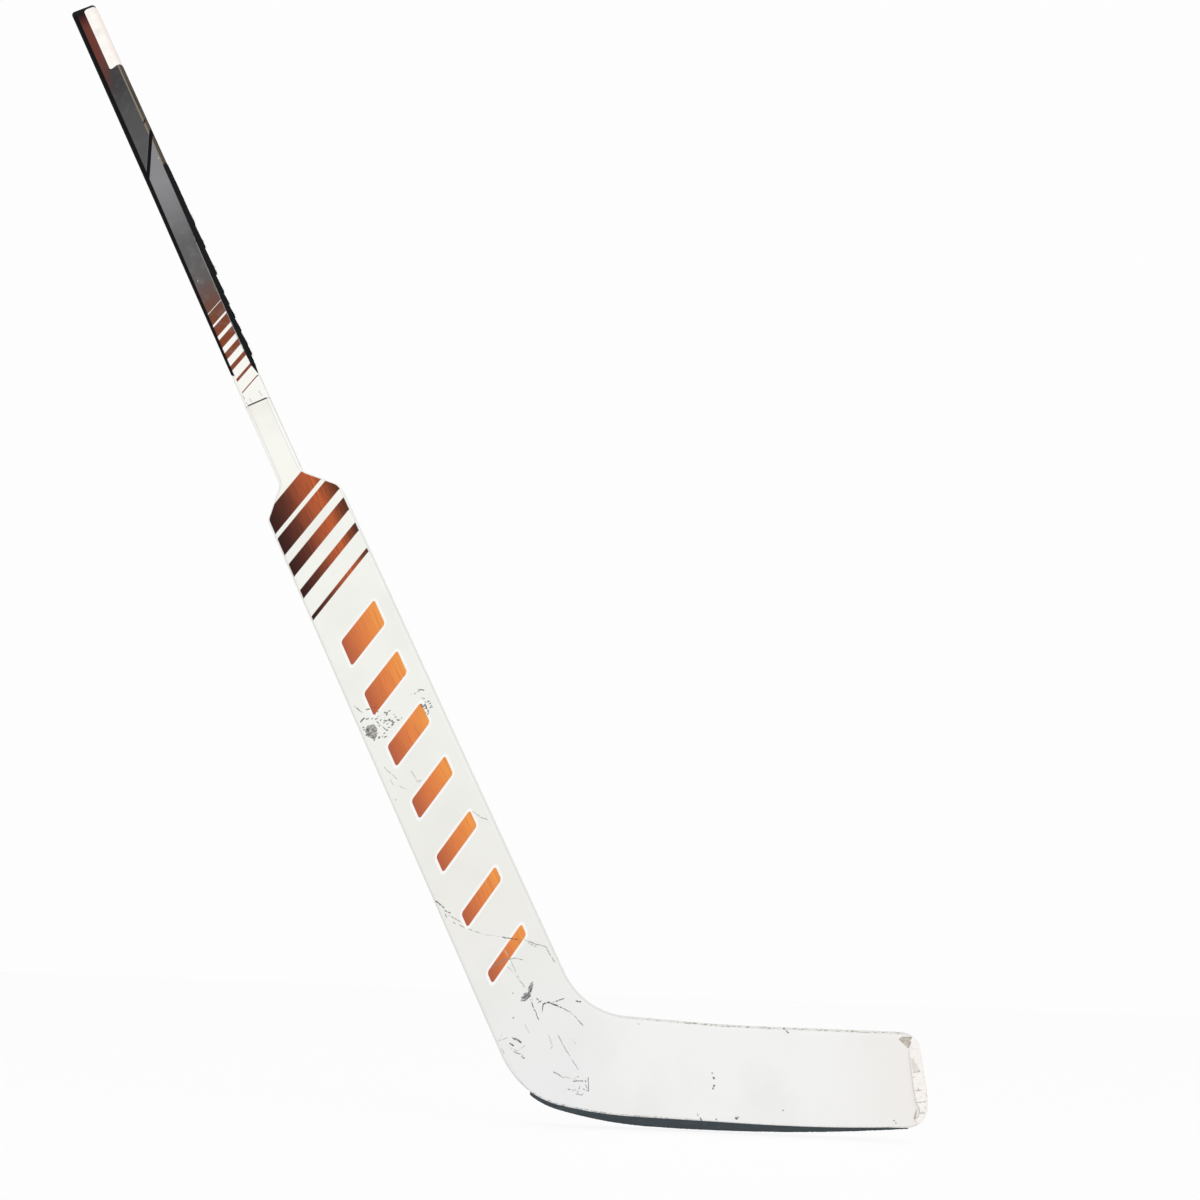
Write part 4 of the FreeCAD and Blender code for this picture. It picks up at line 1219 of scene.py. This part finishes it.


# White two-pack lacquer over moulded laminate: satin, faintly uneven from the mould and yellowed by hands,
# with a painted grey shade line and a painted highlight along the rounded edges, flat-printed bars, and wear
# down to the filler
def laminateLacquer():
    material, tree, shader = newMaterial("whiteLacquer", {"Roughness": paint["satin"], "IOR": 1.5})
    at = stickPlaces(tree)
    axes = addNode(tree, "ShaderNodeSeparateXYZ", None, {"Vector": at.plain}).outputs
    at.x, at.z = axes["X"], axes["Z"]
    at.rim = addNode(tree, "ShaderNodeAttribute", {"attribute_name": "rim"}).outputs["Fac"]
    front = addNode(tree, "ShaderNodeAttribute", {"attribute_name": "frontFace"}).outputs["Fac"]
    at.isFront = addNode(tree, "ShaderNodeMath", {"operation": "GREATER_THAN"}, {0: front, 1: 0.5})
    white = toneAlong(tree, at.level, paint["tones"])
    coats = toneCoats(tree, at) + edgeShadeAndHighlightCoats(tree, at)
    at.slanted, at.streaks = barLevel(tree, at), barStreaks(tree, at)
    coats += shoulderCoats(tree, at) + paddleCoats(tree, at) + fleckCoats(tree, at) + seamCoats(tree, at)
    at.flat = shakenPlace(tree, at.plain, paint["shakeSize"], paint["shakeReach"])
    wear = scratchCoats(tree, at) + patchCoats(tree, at) + dashCoats(tree, at)
    shading = addNode(tree, "ShaderNodeMapRange", None, {
        "Value": joinMasks(tree, [share for share, tone in wear], "MAXIMUM"),
        "To Min": paint["satin"], "To Max": paint["wornRoughness"]})
    # only the paint's own texture goes into the bump: the scratches are too shallow to catch the light
    peel = addNode(tree, "ShaderNodeTexNoise", None, {
        "Vector": at.plain, "Scale": 1 / paint["peelSize"], "Detail": 2.0})
    dressShader(tree, shader, white, coats + wear, shading, peel.outputs["Fac"], (0.4, 0.03))
    return material


# Print of the shaft's front face from the butt down, and the painted reflection with painted highlight lines
# on the right corner above the friction strip
shaftPrint = {
    "lowerTones": (
        (820, "#94451f"), (900, "#8a4120"), (925, "#87401f"), (950, "#774631"), (975, "#6b5149"),
        (1000, "#625e5d"), (1050, "#626263"), (1100, "#7c7c7f"), (1140, "#8b8b8e"), (1200, "#87878a")),
    "upperTones": ((1190, "#575757"), (1250, "#525252"), (1292, "#424041"), (1320, "#424041")),
    "maroonSlant": -3.4, "maroon": {"From Min": 1158.0, "From Max": 1216.0},
    "capShade": {"From Min": 1390.0, "From Max": 1418.0, "To Max": 0.9},
    "smearSize": 11.0, "smears": {"From Min": 0.5, "From Max": 0.75, "To Max": 0.3},
    "stripeSlant": -2.32, "stripePlace": 1078.0, "stripeHalf": 5.4, "stripeFade": 1.2,
    "keyLine": 1.5, "keyFade": 1.0, "keyShare": 0.35,
    "leftEdge": {"From Min": 880.0, "From Max": 1200.0, "To Min": 31.3, "To Max": 34.5},
    "rightEdge": {"From Min": 880.0, "From Max": 1150.0, "To Min": 52.9, "To Max": 55.0},
    "sliver": {"From Min": 850.0, "From Max": 868.0, "To Min": 57.4, "To Max": 52.9},
    "frontFace": {"From Min": -8.4, "From Max": -9.0}, "sideFade": {"From Min": -0.3, "From Max": 0.3},
    "sideEnd": 870.0, "sideSlant": 0.35, "depthSlant": -1.2,
    # the next entries place the painted highlight beside the friction strip and the painted reflection with
    # its painted highlight lines on the right corner
    "gripHighlight": (0.1, 1.5, 0.4), "gripHighlightSpan": (895.0, 1045.0, 30.0), "gripHighlightShare": 0.8,
    "reflectionSpan": (1160.0, 1326.0, 2.0), "cornerReflection": (56.2, 70.0, 0.3), "cornerHighlight": (54.6, 56.2, 0.3),
    "cornerHighlightShare": 0.9, "farHighlightDepths": (7.0, 8.6, 0.6), "farHighlightShare": 0.35,
    "grainSize": (1.1, 1.1, 60.0), "reflectionTones": ((0.35, "#38302a"), (0.65, "#6b6053")),
    "notchSlant": -1.39, "notch": (1151.6, 1155.0, 0.8), "notchOffsets": (54.6, 70.0, 0.5),
    "wrapped": (50.0, 70.0, 1.0), "dripShare": 0.7,
    # paint chips and drips, as a width and (offset, level) points
    "chips": [(0.8, (53.9, 1174.2), (54, 1174.6)), (0.7, (36.9, 996.1), (37, 996.4))],
    "seamMarks": [(0.6, (30.6, 836.4), (31, 830.6)), (0.6, (31.1, 826.4), (31.4, 823.6)),
                  (0.6, (36.4, 829.4), (36.8, 824)), (0.6, (49.4, 833.6), (49.3, 830)),
                  (0.6, (49.8, 829), (50.2, 826.4))],
    "handSize": 14.0, "handled": {"From Min": 0.3, "From Max": 0.7, "To Min": 0.26, "To Max": 0.44},
}


# Dark upper print turning maroon, and the black slanting stripe between it and the grey panel
def printCoats(tree, at):
    design = shaftPrint
    maroon = addNode(tree, "ShaderNodeMath", {"operation": "MULTIPLY_ADD"}, {
        0: at.offset, 1: design["maroonSlant"], 2: at.level})
    maroon = addNode(tree, "ShaderNodeMapRange", None, {"Value": maroon, **design["maroon"]})
    stripe = addNode(tree, "ShaderNodeMath", {"operation": "MULTIPLY_ADD"}, {
        0: at.offset, 1: design["stripeSlant"], 2: at.level})
    place, half = design["stripePlace"], design["stripeHalf"]
    above = addNode(tree, "ShaderNodeMath", {"operation": "GREATER_THAN"}, {0: stripe, 1: place})
    at.stripe = withinLimits(tree, stripe, place - half, place + half, design["stripeFade"])
    nearCap = addNode(tree, "ShaderNodeMapRange", {"interpolation_type": "SMOOTHSTEP"}, {
        "Value": at.level, **design["capShade"]})
    smears = addNode(tree, "ShaderNodeTexNoise", None, {
        "Vector": at.plain, "Scale": 1 / design["smearSize"], "Detail": 4.0})
    smears = addNode(tree, "ShaderNodeMapRange", None, {"Value": smears, **design["smears"]})
    half += design["keyLine"]
    keyLine = withinLimits(tree, stripe, place - half, place + half, design["keyFade"])
    return [(smears, "#8d8b89"), (above, toneAlong(tree, at.level, design["upperTones"])),
            (joinMasks(tree, [above, smears]), "#6f6e6d"), (joinMasks(tree, [above, maroon]), "#71352a"),
            (joinMasks(tree, [keyLine, design["keyShare"]]), "#8a898b"), (at.stripe, "#0e0e11"),
            (nearCap, "#150b0e")]


# White between the bars towards the seam
def lowerBarCoats(tree, at):
    slanted, row, soft = barLevel(tree, at), printedBars["shaft"], printedBars["softEdge"]
    lower = addNode(tree, "ShaderNodeGroup", {"node_tree": bars}, {"Along": slanted, **row})
    bare = addNode(tree, "ShaderNodeMapRange", None, {"Value": lower, "From Min": -soft, "From Max": soft})
    below = addNode(tree, "ShaderNodeMath", {"operation": "LESS_THAN"}, {
        0: slanted, 1: row["Start"] + row["Pitch"] * row["Count"]})
    return [(joinMasks(tree, [bare, below]), "#faf9f4")]


# Black sides and back, down to slanted ends a little above the seam
def sideCoats(tree, at):
    design = shaftPrint
    at.front = addNode(tree, "ShaderNodeMapRange", None, {"Value": at.depth, **design["frontFace"]})
    leftEdge = addNode(tree, "ShaderNodeMapRange", None, {"Value": at.level, **design["leftEdge"]})
    fromLeft = addNode(tree, "ShaderNodeMath", {"operation": "SUBTRACT"}, {0: at.offset, 1: leftEdge})
    fromLeft = addNode(tree, "ShaderNodeMapRange", None, {"Value": fromLeft, **design["sideFade"]})
    rightEdge = addNode(tree, "ShaderNodeMapRange", None, {"Value": at.level, **design["rightEdge"]})
    sliver = addNode(tree, "ShaderNodeMapRange", None, {"Value": at.level, **design["sliver"]})
    rightEdge = addNode(tree, "ShaderNodeMath", {"operation": "MAXIMUM"}, {0: rightEdge, 1: sliver})
    at.inside = addNode(tree, "ShaderNodeMath", {"operation": "SUBTRACT"}, {0: rightEdge, 1: at.offset})
    fromRight = addNode(tree, "ShaderNodeMapRange", None, {"Value": at.inside, **design["sideFade"]})
    face = joinMasks(tree, [at.front, fromLeft, fromRight])
    side = addNode(tree, "ShaderNodeMath", {"operation": "SUBTRACT"}, {0: 1.0, 1: face})
    ends = addNode(tree, "ShaderNodeMath", {"operation": "MULTIPLY_ADD"}, {
        0: at.depth, 1: design["depthSlant"], 2: at.level})
    ends = addNode(tree, "ShaderNodeMath", {"operation": "MULTIPLY_ADD"}, {
        0: at.offset, 1: design["sideSlant"], 2: ends})
    endPlace = design["sideEnd"] + design["sideSlant"] * stick["midLine"]
    ends = addNode(tree, "ShaderNodeMapRange", None, {
        "Value": ends, "From Min": endPlace, "From Max": endPlace + 1})
    sideTone = addNode(tree, "ShaderNodeMix", {"data_type": "RGBA"}, {
        "Factor": ends, "A": hexColour("#f8f7f2"), "B": hexColour("#0d0d0f")})
    return [(side, sideTone)]


# Painted highlight on the corner beside the friction strip, the painted reflection and painted highlight
# lines on the right corner above it, chips and drips
def cornerLightAndChipCoats(tree, at):
    design = shaftPrint
    # a painted highlight along the corner beside the friction strip
    beside = joinMasks(tree, [at.front, withinLimits(tree, at.level, *design["gripHighlightSpan"]),
                              withinLimits(tree, at.inside, *design["gripHighlight"]), design["gripHighlightShare"]])
    # a painted brown reflection on the right corner, a painted highlight line in it and another on the far
    # corner
    reflectionBand = withinLimits(tree, at.level, *design["reflectionSpan"])
    cornerReflection = joinMasks(tree, [reflectionBand, withinLimits(tree, at.offset, *design["cornerReflection"])])
    cornerHighlight = joinMasks(tree, [reflectionBand, at.front, withinLimits(tree, at.offset, *design["cornerHighlight"]),
                                 design["cornerHighlightShare"]])
    farHighlight = joinMasks(tree, [
        cornerReflection, withinLimits(tree, at.depth, *design["farHighlightDepths"]), design["farHighlightShare"]])
    reflectionTone = toneAlong(tree, stretchedNoise(tree, at.turned, design["grainSize"]), design["reflectionTones"])
    notch = addNode(tree, "ShaderNodeMath", {"operation": "MULTIPLY_ADD"}, {
        0: at.offset, 1: design["notchSlant"], 2: at.level})
    notch = joinMasks(tree, [reflectionBand, at.front, withinLimits(tree, notch, *design["notch"]),
                             withinLimits(tree, at.offset, *design["notchOffsets"])])
    wrapped = joinMasks(tree, [at.stripe, withinLimits(tree, at.offset, *design["wrapped"]), reflectionBand])
    spot = addNode(tree, "ShaderNodeCombineXYZ", None, {"X": at.offset, "Z": at.level})
    chips = joinMasks(tree, [strokesMask(tree, spot, design["chips"]), at.front])
    drips = joinMasks(tree, [strokesMask(tree, spot, design["seamMarks"]), at.front, design["dripShare"]])
    return [(beside, "#98979a"), (cornerReflection, reflectionTone), (cornerHighlight, "#8f8676"), (farHighlight, "#a69d85"),
            (notch, "#43201a"), (wrapped, "#0e0e11"), (chips, "#e9e6df"), (drips, "#a79aa0")]


# Lacquered carbon tube: black gloss sides, a satin print on the front face that runs from maroon through
# charcoal and grey to copper, then bars that thin out to white at the seam
def shaftLacquer():
    material, tree, shader = newMaterial("printedShaftLacquer", {"Roughness": 0.3, "IOR": 1.5})
    at = stickPlaces(tree)
    coats = printCoats(tree, at) + lowerBarCoats(tree, at) + sideCoats(tree, at) + cornerLightAndChipCoats(tree, at)
    coats.append((seamMask(tree, at, at.front), seamResin["tone"]))
    handled = addNode(tree, "ShaderNodeTexNoise", None, {
        "Vector": at.plain, "Scale": 1 / shaftPrint["handSize"], "Detail": 5.0})
    shading = addNode(tree, "ShaderNodeMapRange", None, {"Value": handled, **shaftPrint["handled"]})
    dressShader(tree, shader, toneAlong(tree, at.level, shaftPrint["lowerTones"]), coats, shading)
    return material


# A finish of one tone with grains of another, which stand out a little
def grainyFinish(name, settings, base, grainTone, grainSize, detail, relief):
    material, tree, shader = newMaterial(name, settings)
    grain = addNode(tree, "ShaderNodeTexNoise", None, {
        "Vector": framePlace(tree), "Scale": 1 / grainSize, "Detail": detail}).outputs["Fac"]
    dressShader(tree, shader, base, [(grain, grainTone)], None, grain, relief)
    return material


# Label paper: matt white, with painted pink shade where it folds over the corner, and grey where fingers
# touched it
def labelPaper():
    material, tree, shader = newMaterial("labelPaper", {"Roughness": 0.75, "IOR": 1.45})
    at = stickPlaces(tree)
    smudge = addNode(tree, "ShaderNodeTexNoise", None, {
        "Vector": at.plain, "Scale": 1 / shaftLabel["smudgeSize"], "Detail": 5.0})
    smudge = addNode(tree, "ShaderNodeMapRange", None, {"Value": smudge, "From Min": 0.45, "From Max": 0.8})
    # painted pink shade on the part folded over the corner
    foldShade = addNode(tree, "ShaderNodeMapRange", {"interpolation_type": "SMOOTHSTEP"}, {
        "Value": at.offset, **shaftLabel["foldShade"]})
    pulp = addNode(tree, "ShaderNodeTexNoise", None, {
        "Vector": at.plain, "Scale": 1 / shaftLabel["pulpSize"], "Detail": 3.0})
    dressShader(tree, shader, "#fffaf4", [(smudge, "#ebe6e2"), (foldShade, "#f1e6df")],
                None, pulp.outputs["Fac"], (0.4, 0.05))
    return material


# Cracks and a smudge in the toe tape's front, as a width and (x, z) points
tapeMarks = {
    "cracks": [
        (0.6, (361, 62), (364, 61.9), (366.8, 63)), (0.6, (360.8, 56.6), (362.6, 58)),
        (0.7, (362.7, 45.2), (368.5, 46.2)), (0.7, (365.2, 45.3), (364.5, 47.6)),
        (0.7, (362.9, 35.1), (370.3, 36.2)), (0.7, (364.6, 25.2), (367.2, 27.6)),
        (0.7, (370.3, 57.5), (370.6, 57.2)), (0.8, (372, 41.7), (372.2, 40.9)),
        (0.8, (371, 37.8), (371.2, 37.2)), (0.8, (369.8, 31.5), (369.9, 30.8)),
        (0.7, (368.4, 26.8), (368.6, 26.2)),
    ],
    "smudges": [(2.6, (361.2, 71.9), (362.4, 63.6)), (2.2, (361.4, 70), (366, 63.4))],
    "crackShare": 0.55, "smudgeShare": 0.35, "shakeSize": 2.2, "shakeReach": 1.6,
    "creaseSize": (20, 20, 25 / 7), "creases": {"From Min": 0.012, "From Max": 0.0, "To Max": 0.45},
}


# White cloth tape, pressed smooth: warm white, with cracks in its coating and its creases drawn darker
def toeCloth():
    material, tree, shader = newMaterial("toeTapeCloth", {"Roughness": 0.6, "IOR": 1.45})
    plain = framePlace(tree)
    crease = stretchedNoise(tree, plain, tapeMarks["creaseSize"], 4.0)
    crease = addNode(tree, "ShaderNodeMath", {"operation": "SUBTRACT"}, {0: crease, 1: 0.5})
    crease = addNode(tree, "ShaderNodeMath", {"operation": "ABSOLUTE"}, {0: crease})
    crease = addNode(tree, "ShaderNodeMapRange", None, {"Value": crease, **tapeMarks["creases"]})
    flat = shakenPlace(tree, plain, tapeMarks["shakeSize"], tapeMarks["shakeReach"])
    cracks = joinMasks(tree, [strokesMask(tree, flat, tapeMarks["cracks"]), tapeMarks["crackShare"]])
    smudge = joinMasks(tree, [strokesMask(tree, flat, tapeMarks["smudges"]), tapeMarks["smudgeShare"]])
    dressShader(tree, shader, "#f8f3ee", [(crease, "#c4bcae"), (smudge, "#b3aca0"), (cracks, "#8d867a")],
                None, crease, (0.5, 0.2))
    return material


# Sole strip of dark abrasion-proof plastic: blue-grey, dull, with long drag marks and paler scraped spots
def wearPlastic():
    material, tree, shader = newMaterial("rubbedSolePlastic", {"Roughness": 0.55, "IOR": 1.49})
    plain = framePlace(tree)
    drag = stretchedNoise(tree, plain, (100 / 3, 2, 5 / 3), 5.0)
    scrape = stretchedNoise(tree, plain, (25 / 3, 2, 5 / 3), 4.0)
    scrape = addNode(tree, "ShaderNodeMapRange", None, {
        "Value": scrape, "From Min": 0.58, "From Max": 0.72, "To Max": 0.22})
    dressShader(tree, shader, "#333c41", [(drag, "#475157"), (scrape, "#6b757b")],
                None, drag, (0.5, 0.2))
    return material


# Bare carbon laminate inside: twill bundles 3 mm wide under a thin gloss of resin
def carbonLaminate():
    material, tree, shader = newMaterial("carbonTwill", {"Roughness": 0.35, "IOR": 1.6})
    weave = addNode(tree, "ShaderNodeTexChecker", None, {
        "Vector": framePlace(tree), "Scale": 1 / 3}).outputs["Fac"]
    dressShader(tree, shader, "#17181a", [(weave, "#26282b")], None, weave, (0.3, 0.1))
    return material


# Closed-cell foam: fine pale cells with a dry, open look
def coreFoam(name, pale, dark, cell):
    material, tree, shader = newMaterial(name, {"Roughness": 0.9, "IOR": 1.4})
    cells = addNode(tree, "ShaderNodeTexVoronoi", None, {
        "Vector": framePlace(tree), "Scale": 1 / cell}).outputs["Distance"]
    dressShader(tree, shader, pale, [(cells, dark)], None, cells, (0.6, 0.3))
    return material


lacquer, printedLacquer = laminateLacquer(), shaftLacquer()
paper, tapeCloth, soleFinish, carbon = labelPaper(), toeCloth(), wearPlastic(), carbonLaminate()
# Friction cloth: matt black pile, greyer where hands have rubbed the tufts
cloth = grainyFinish(
    "frictionCloth", {"Roughness": 0.9, "IOR": 1.45}, "#09090a", "#1c1c1e", 0.9, 4.0, (0.9, 0.5))
# Moulded rubber: near black, even and dull, with a fine spark-eroded grain
capFinish = grainyFinish(
    "mouldedRubber", {"Roughness": 0.62, "IOR": 1.52}, "#131314", "#1d1d1f", 0.7, 2.0, (0.5, 0.08))
# Filled epoxy at the joint: dark, dull and slightly pitted
resin = grainyFinish(
    "filledEpoxy", {"Roughness": 0.5, "IOR": 1.55}, "#202024", "#363639", 1.5, 3.0, (0.4, 0.1))
denseFoam = coreFoam("denseCoreFoam", "#c9ac7c", "#a58657", 0.8)
lightFoam = coreFoam("lightCoreFoam", "#e0d2b0", "#c3b289", 1.4)
print("stage: main finishes")

finishPiece("mouldedShell", shellMesh, lacquer, (
    "front_skin", "back_skin", "paddle_rail_outer", "paddle_rail_inner", "blade_top_rail", "toe_rail",
    "blade_bottom_rail"))
shaftMesh = nodesMesh("shaftTube", bpy.data.meshes.new("shaftStart"), shaftTree(printedLacquer), {
    "Width": shaft["width"] * millimetre, "Depth": shaft["depth"] * millimetre,
    "Corner Radius": shaft["cornerRadius"] * millimetre, "Corner Steps": shaft["cornerSteps"],
    "Bottom": shaft["bottom"] * millimetre, "Top": shaft["top"] * millimetre, "Rings": shaft["rings"],
    "Middle": stick["midLine"] * millimetre, "Lean": -math.radians(stick["lean"]),
    "Neck Width": shaft["neckWidth"] * millimetre, "Neck Middle": shaft["neckMiddle"] * millimetre,
    "Taper Start": shaft["taperStart"] * millimetre, "Taper End": shaft["taperEnd"] * millimetre})
finishPiece("shaftTube", shaftMesh, printedLacquer, ("shaft_tube",))
finishPiece("buttCap", buttCapMesh(), capFinish, ("butt_cap",))
glueLine, spigot = jointMesh("jointGlueLine", joint["glueLine"]), jointMesh("jointSpigot", joint["spigot"])
finishPiece("jointGlueLine", glueLine, resin, ("joint_glue_line",))
finishPiece("jointSpigot", spigot, carbon, ("joint_spigot",))
finishPiece("shaftLabel", shaftLabelMesh(), paper, ("shaft_label",), 60)
gripMesh = sideGripMesh()
gripArea = sum(face.area for face in gripMesh.polygons)
gripMesh = nodesMesh("sideGrip", gripMesh, fibreTree(cloth), {
    "Length": sideGrip["fibreLength"] * millimetre, "Radius": sideGrip["fibreRadius"] * millimetre,
    "Tip Radius": sideGrip["fibreTip"] * millimetre, "Density": sideGrip["fibreCount"] / gripArea,
    "Torn Fibres": sideGrip["tornFibres"], "Seed": sideGrip["seed"]})
finishPiece("sideGrip", gripMesh, cloth, ("side_grip",), 60)
finishPiece("toeTape", toeTapeMesh(), tapeCloth, ("toe_tape",), 60)
finishPiece("wearStrip", wearStripMesh(), soleFinish, ("wear_strip",), 50)
print("stage: pieces placed")

# Finishes of the CAD nodes that stay as they are, inside
nodeFinishes = {
    carbon: ("paddle_rib", "blade_rib"), denseFoam: ("shoulder_block", "heel_core"),
    lightFoam: ("paddle_core_outer", "paddle_core_inner", "blade_core_upper", "blade_core_lower"),
}
for finish, names in nodeFinishes.items():
    for name in names:
        finishNode(name, finish)

# Pale floor under the sole, soft studio light, and the camera at the photographed angle
studio = {
    "floorSize": 60.0, "floorGlow": 0.895, "worldStrength": 0.965, "backdrop": 0.985, "gloss": 0.1,
    "keyPlace": (1.8, -2.4, 2.4), "keySize": 2.4, "keyPower": 10.0, "keyAim": (-0.1, 0, 0.5),
    "cameraPlace": (0.0681, -1.3128, 0.127), "cameraTurn": (107.001, -2.046, 0.331),
    "lens": 38.13, "sensor": 36.0, "viewEnd": 200,
}
half, floorLevel = studio["floorSize"] / 2, cadBox[0][2]
floorMesh = bpy.data.meshes.new("floor")
floorCorners = ((-half, -half), (half, -half), (half, half), (-half, half))
floorMesh.from_pydata([(x, y, floorLevel) for x, y in floorCorners], [], [(0, 1, 2, 3)])
# a light table: most of its white is its own, so that shadows stay soft and pale
floorMaterial, floorTree, floorShader = newMaterial("paleFloor", {
    "Base Color": hexColour("#545453"), "Roughness": 0.9, "Specular IOR Level": 0.1,
    "Emission Color": (1, 1, 1, 1)})
glow = addNode(floorTree, "ShaderNodeMapRange", None, {
    "Value": addNode(floorTree, "ShaderNodeLightPath").outputs["Is Glossy Ray"],
    "To Min": studio["floorGlow"], "To Max": 0.0})
floorTree.links.new(glow.outputs[0], floorShader.inputs["Emission Strength"])
floorMesh.materials.append(floorMaterial)
floor = bpy.data.objects.new("floor", floorMesh)
scene.collection.objects.link(floor)

world = bpy.data.worlds.new("softStudio")
scene.world = world
world.use_nodes = True
worldTree = world.node_tree
lightPath = addNode(worldTree, "ShaderNodeLightPath")
strength = addNode(worldTree, "ShaderNodeMapRange", None, {
    "Value": lightPath.outputs["Is Camera Ray"],
    "To Min": studio["worldStrength"], "To Max": studio["backdrop"]})
# the room in front of the stick is darker than the light on it, so dark gloss stays dark
strength = addNode(worldTree, "ShaderNodeMapRange", None, {
    "Value": lightPath.outputs["Is Glossy Ray"], "To Min": strength, "To Max": studio["gloss"]})
background = worldTree.nodes["Background"]
background.inputs["Color"].default_value = (1, 1, 1, 1)
worldTree.links.new(strength.outputs[0], background.inputs["Strength"])

keyData = bpy.data.lights.new("keyLight", "AREA")
keyData.shape, keyData.size, keyData.energy = "DISK", studio["keySize"], studio["keyPower"]
key = bpy.data.objects.new("keyLight", keyData)
key.location = studio["keyPlace"]
key.rotation_euler = (Vector(studio["keyAim"]) - key.location).to_track_quat("-Z", "Y").to_euler()
scene.collection.objects.link(key)

cameraData = bpy.data.cameras.new("photoCamera")
cameraData.lens, cameraData.sensor_width = studio["lens"], studio["sensor"]
cameraData.clip_end = studio["viewEnd"]
camera = bpy.data.objects.new("photoCamera", cameraData)
camera.location = studio["cameraPlace"]
camera.rotation_euler = [math.radians(angle) for angle in studio["cameraTurn"]]
scene.collection.objects.link(camera)
scene.camera = camera
scene.view_settings.view_transform = "Standard"
print("stage: studio")
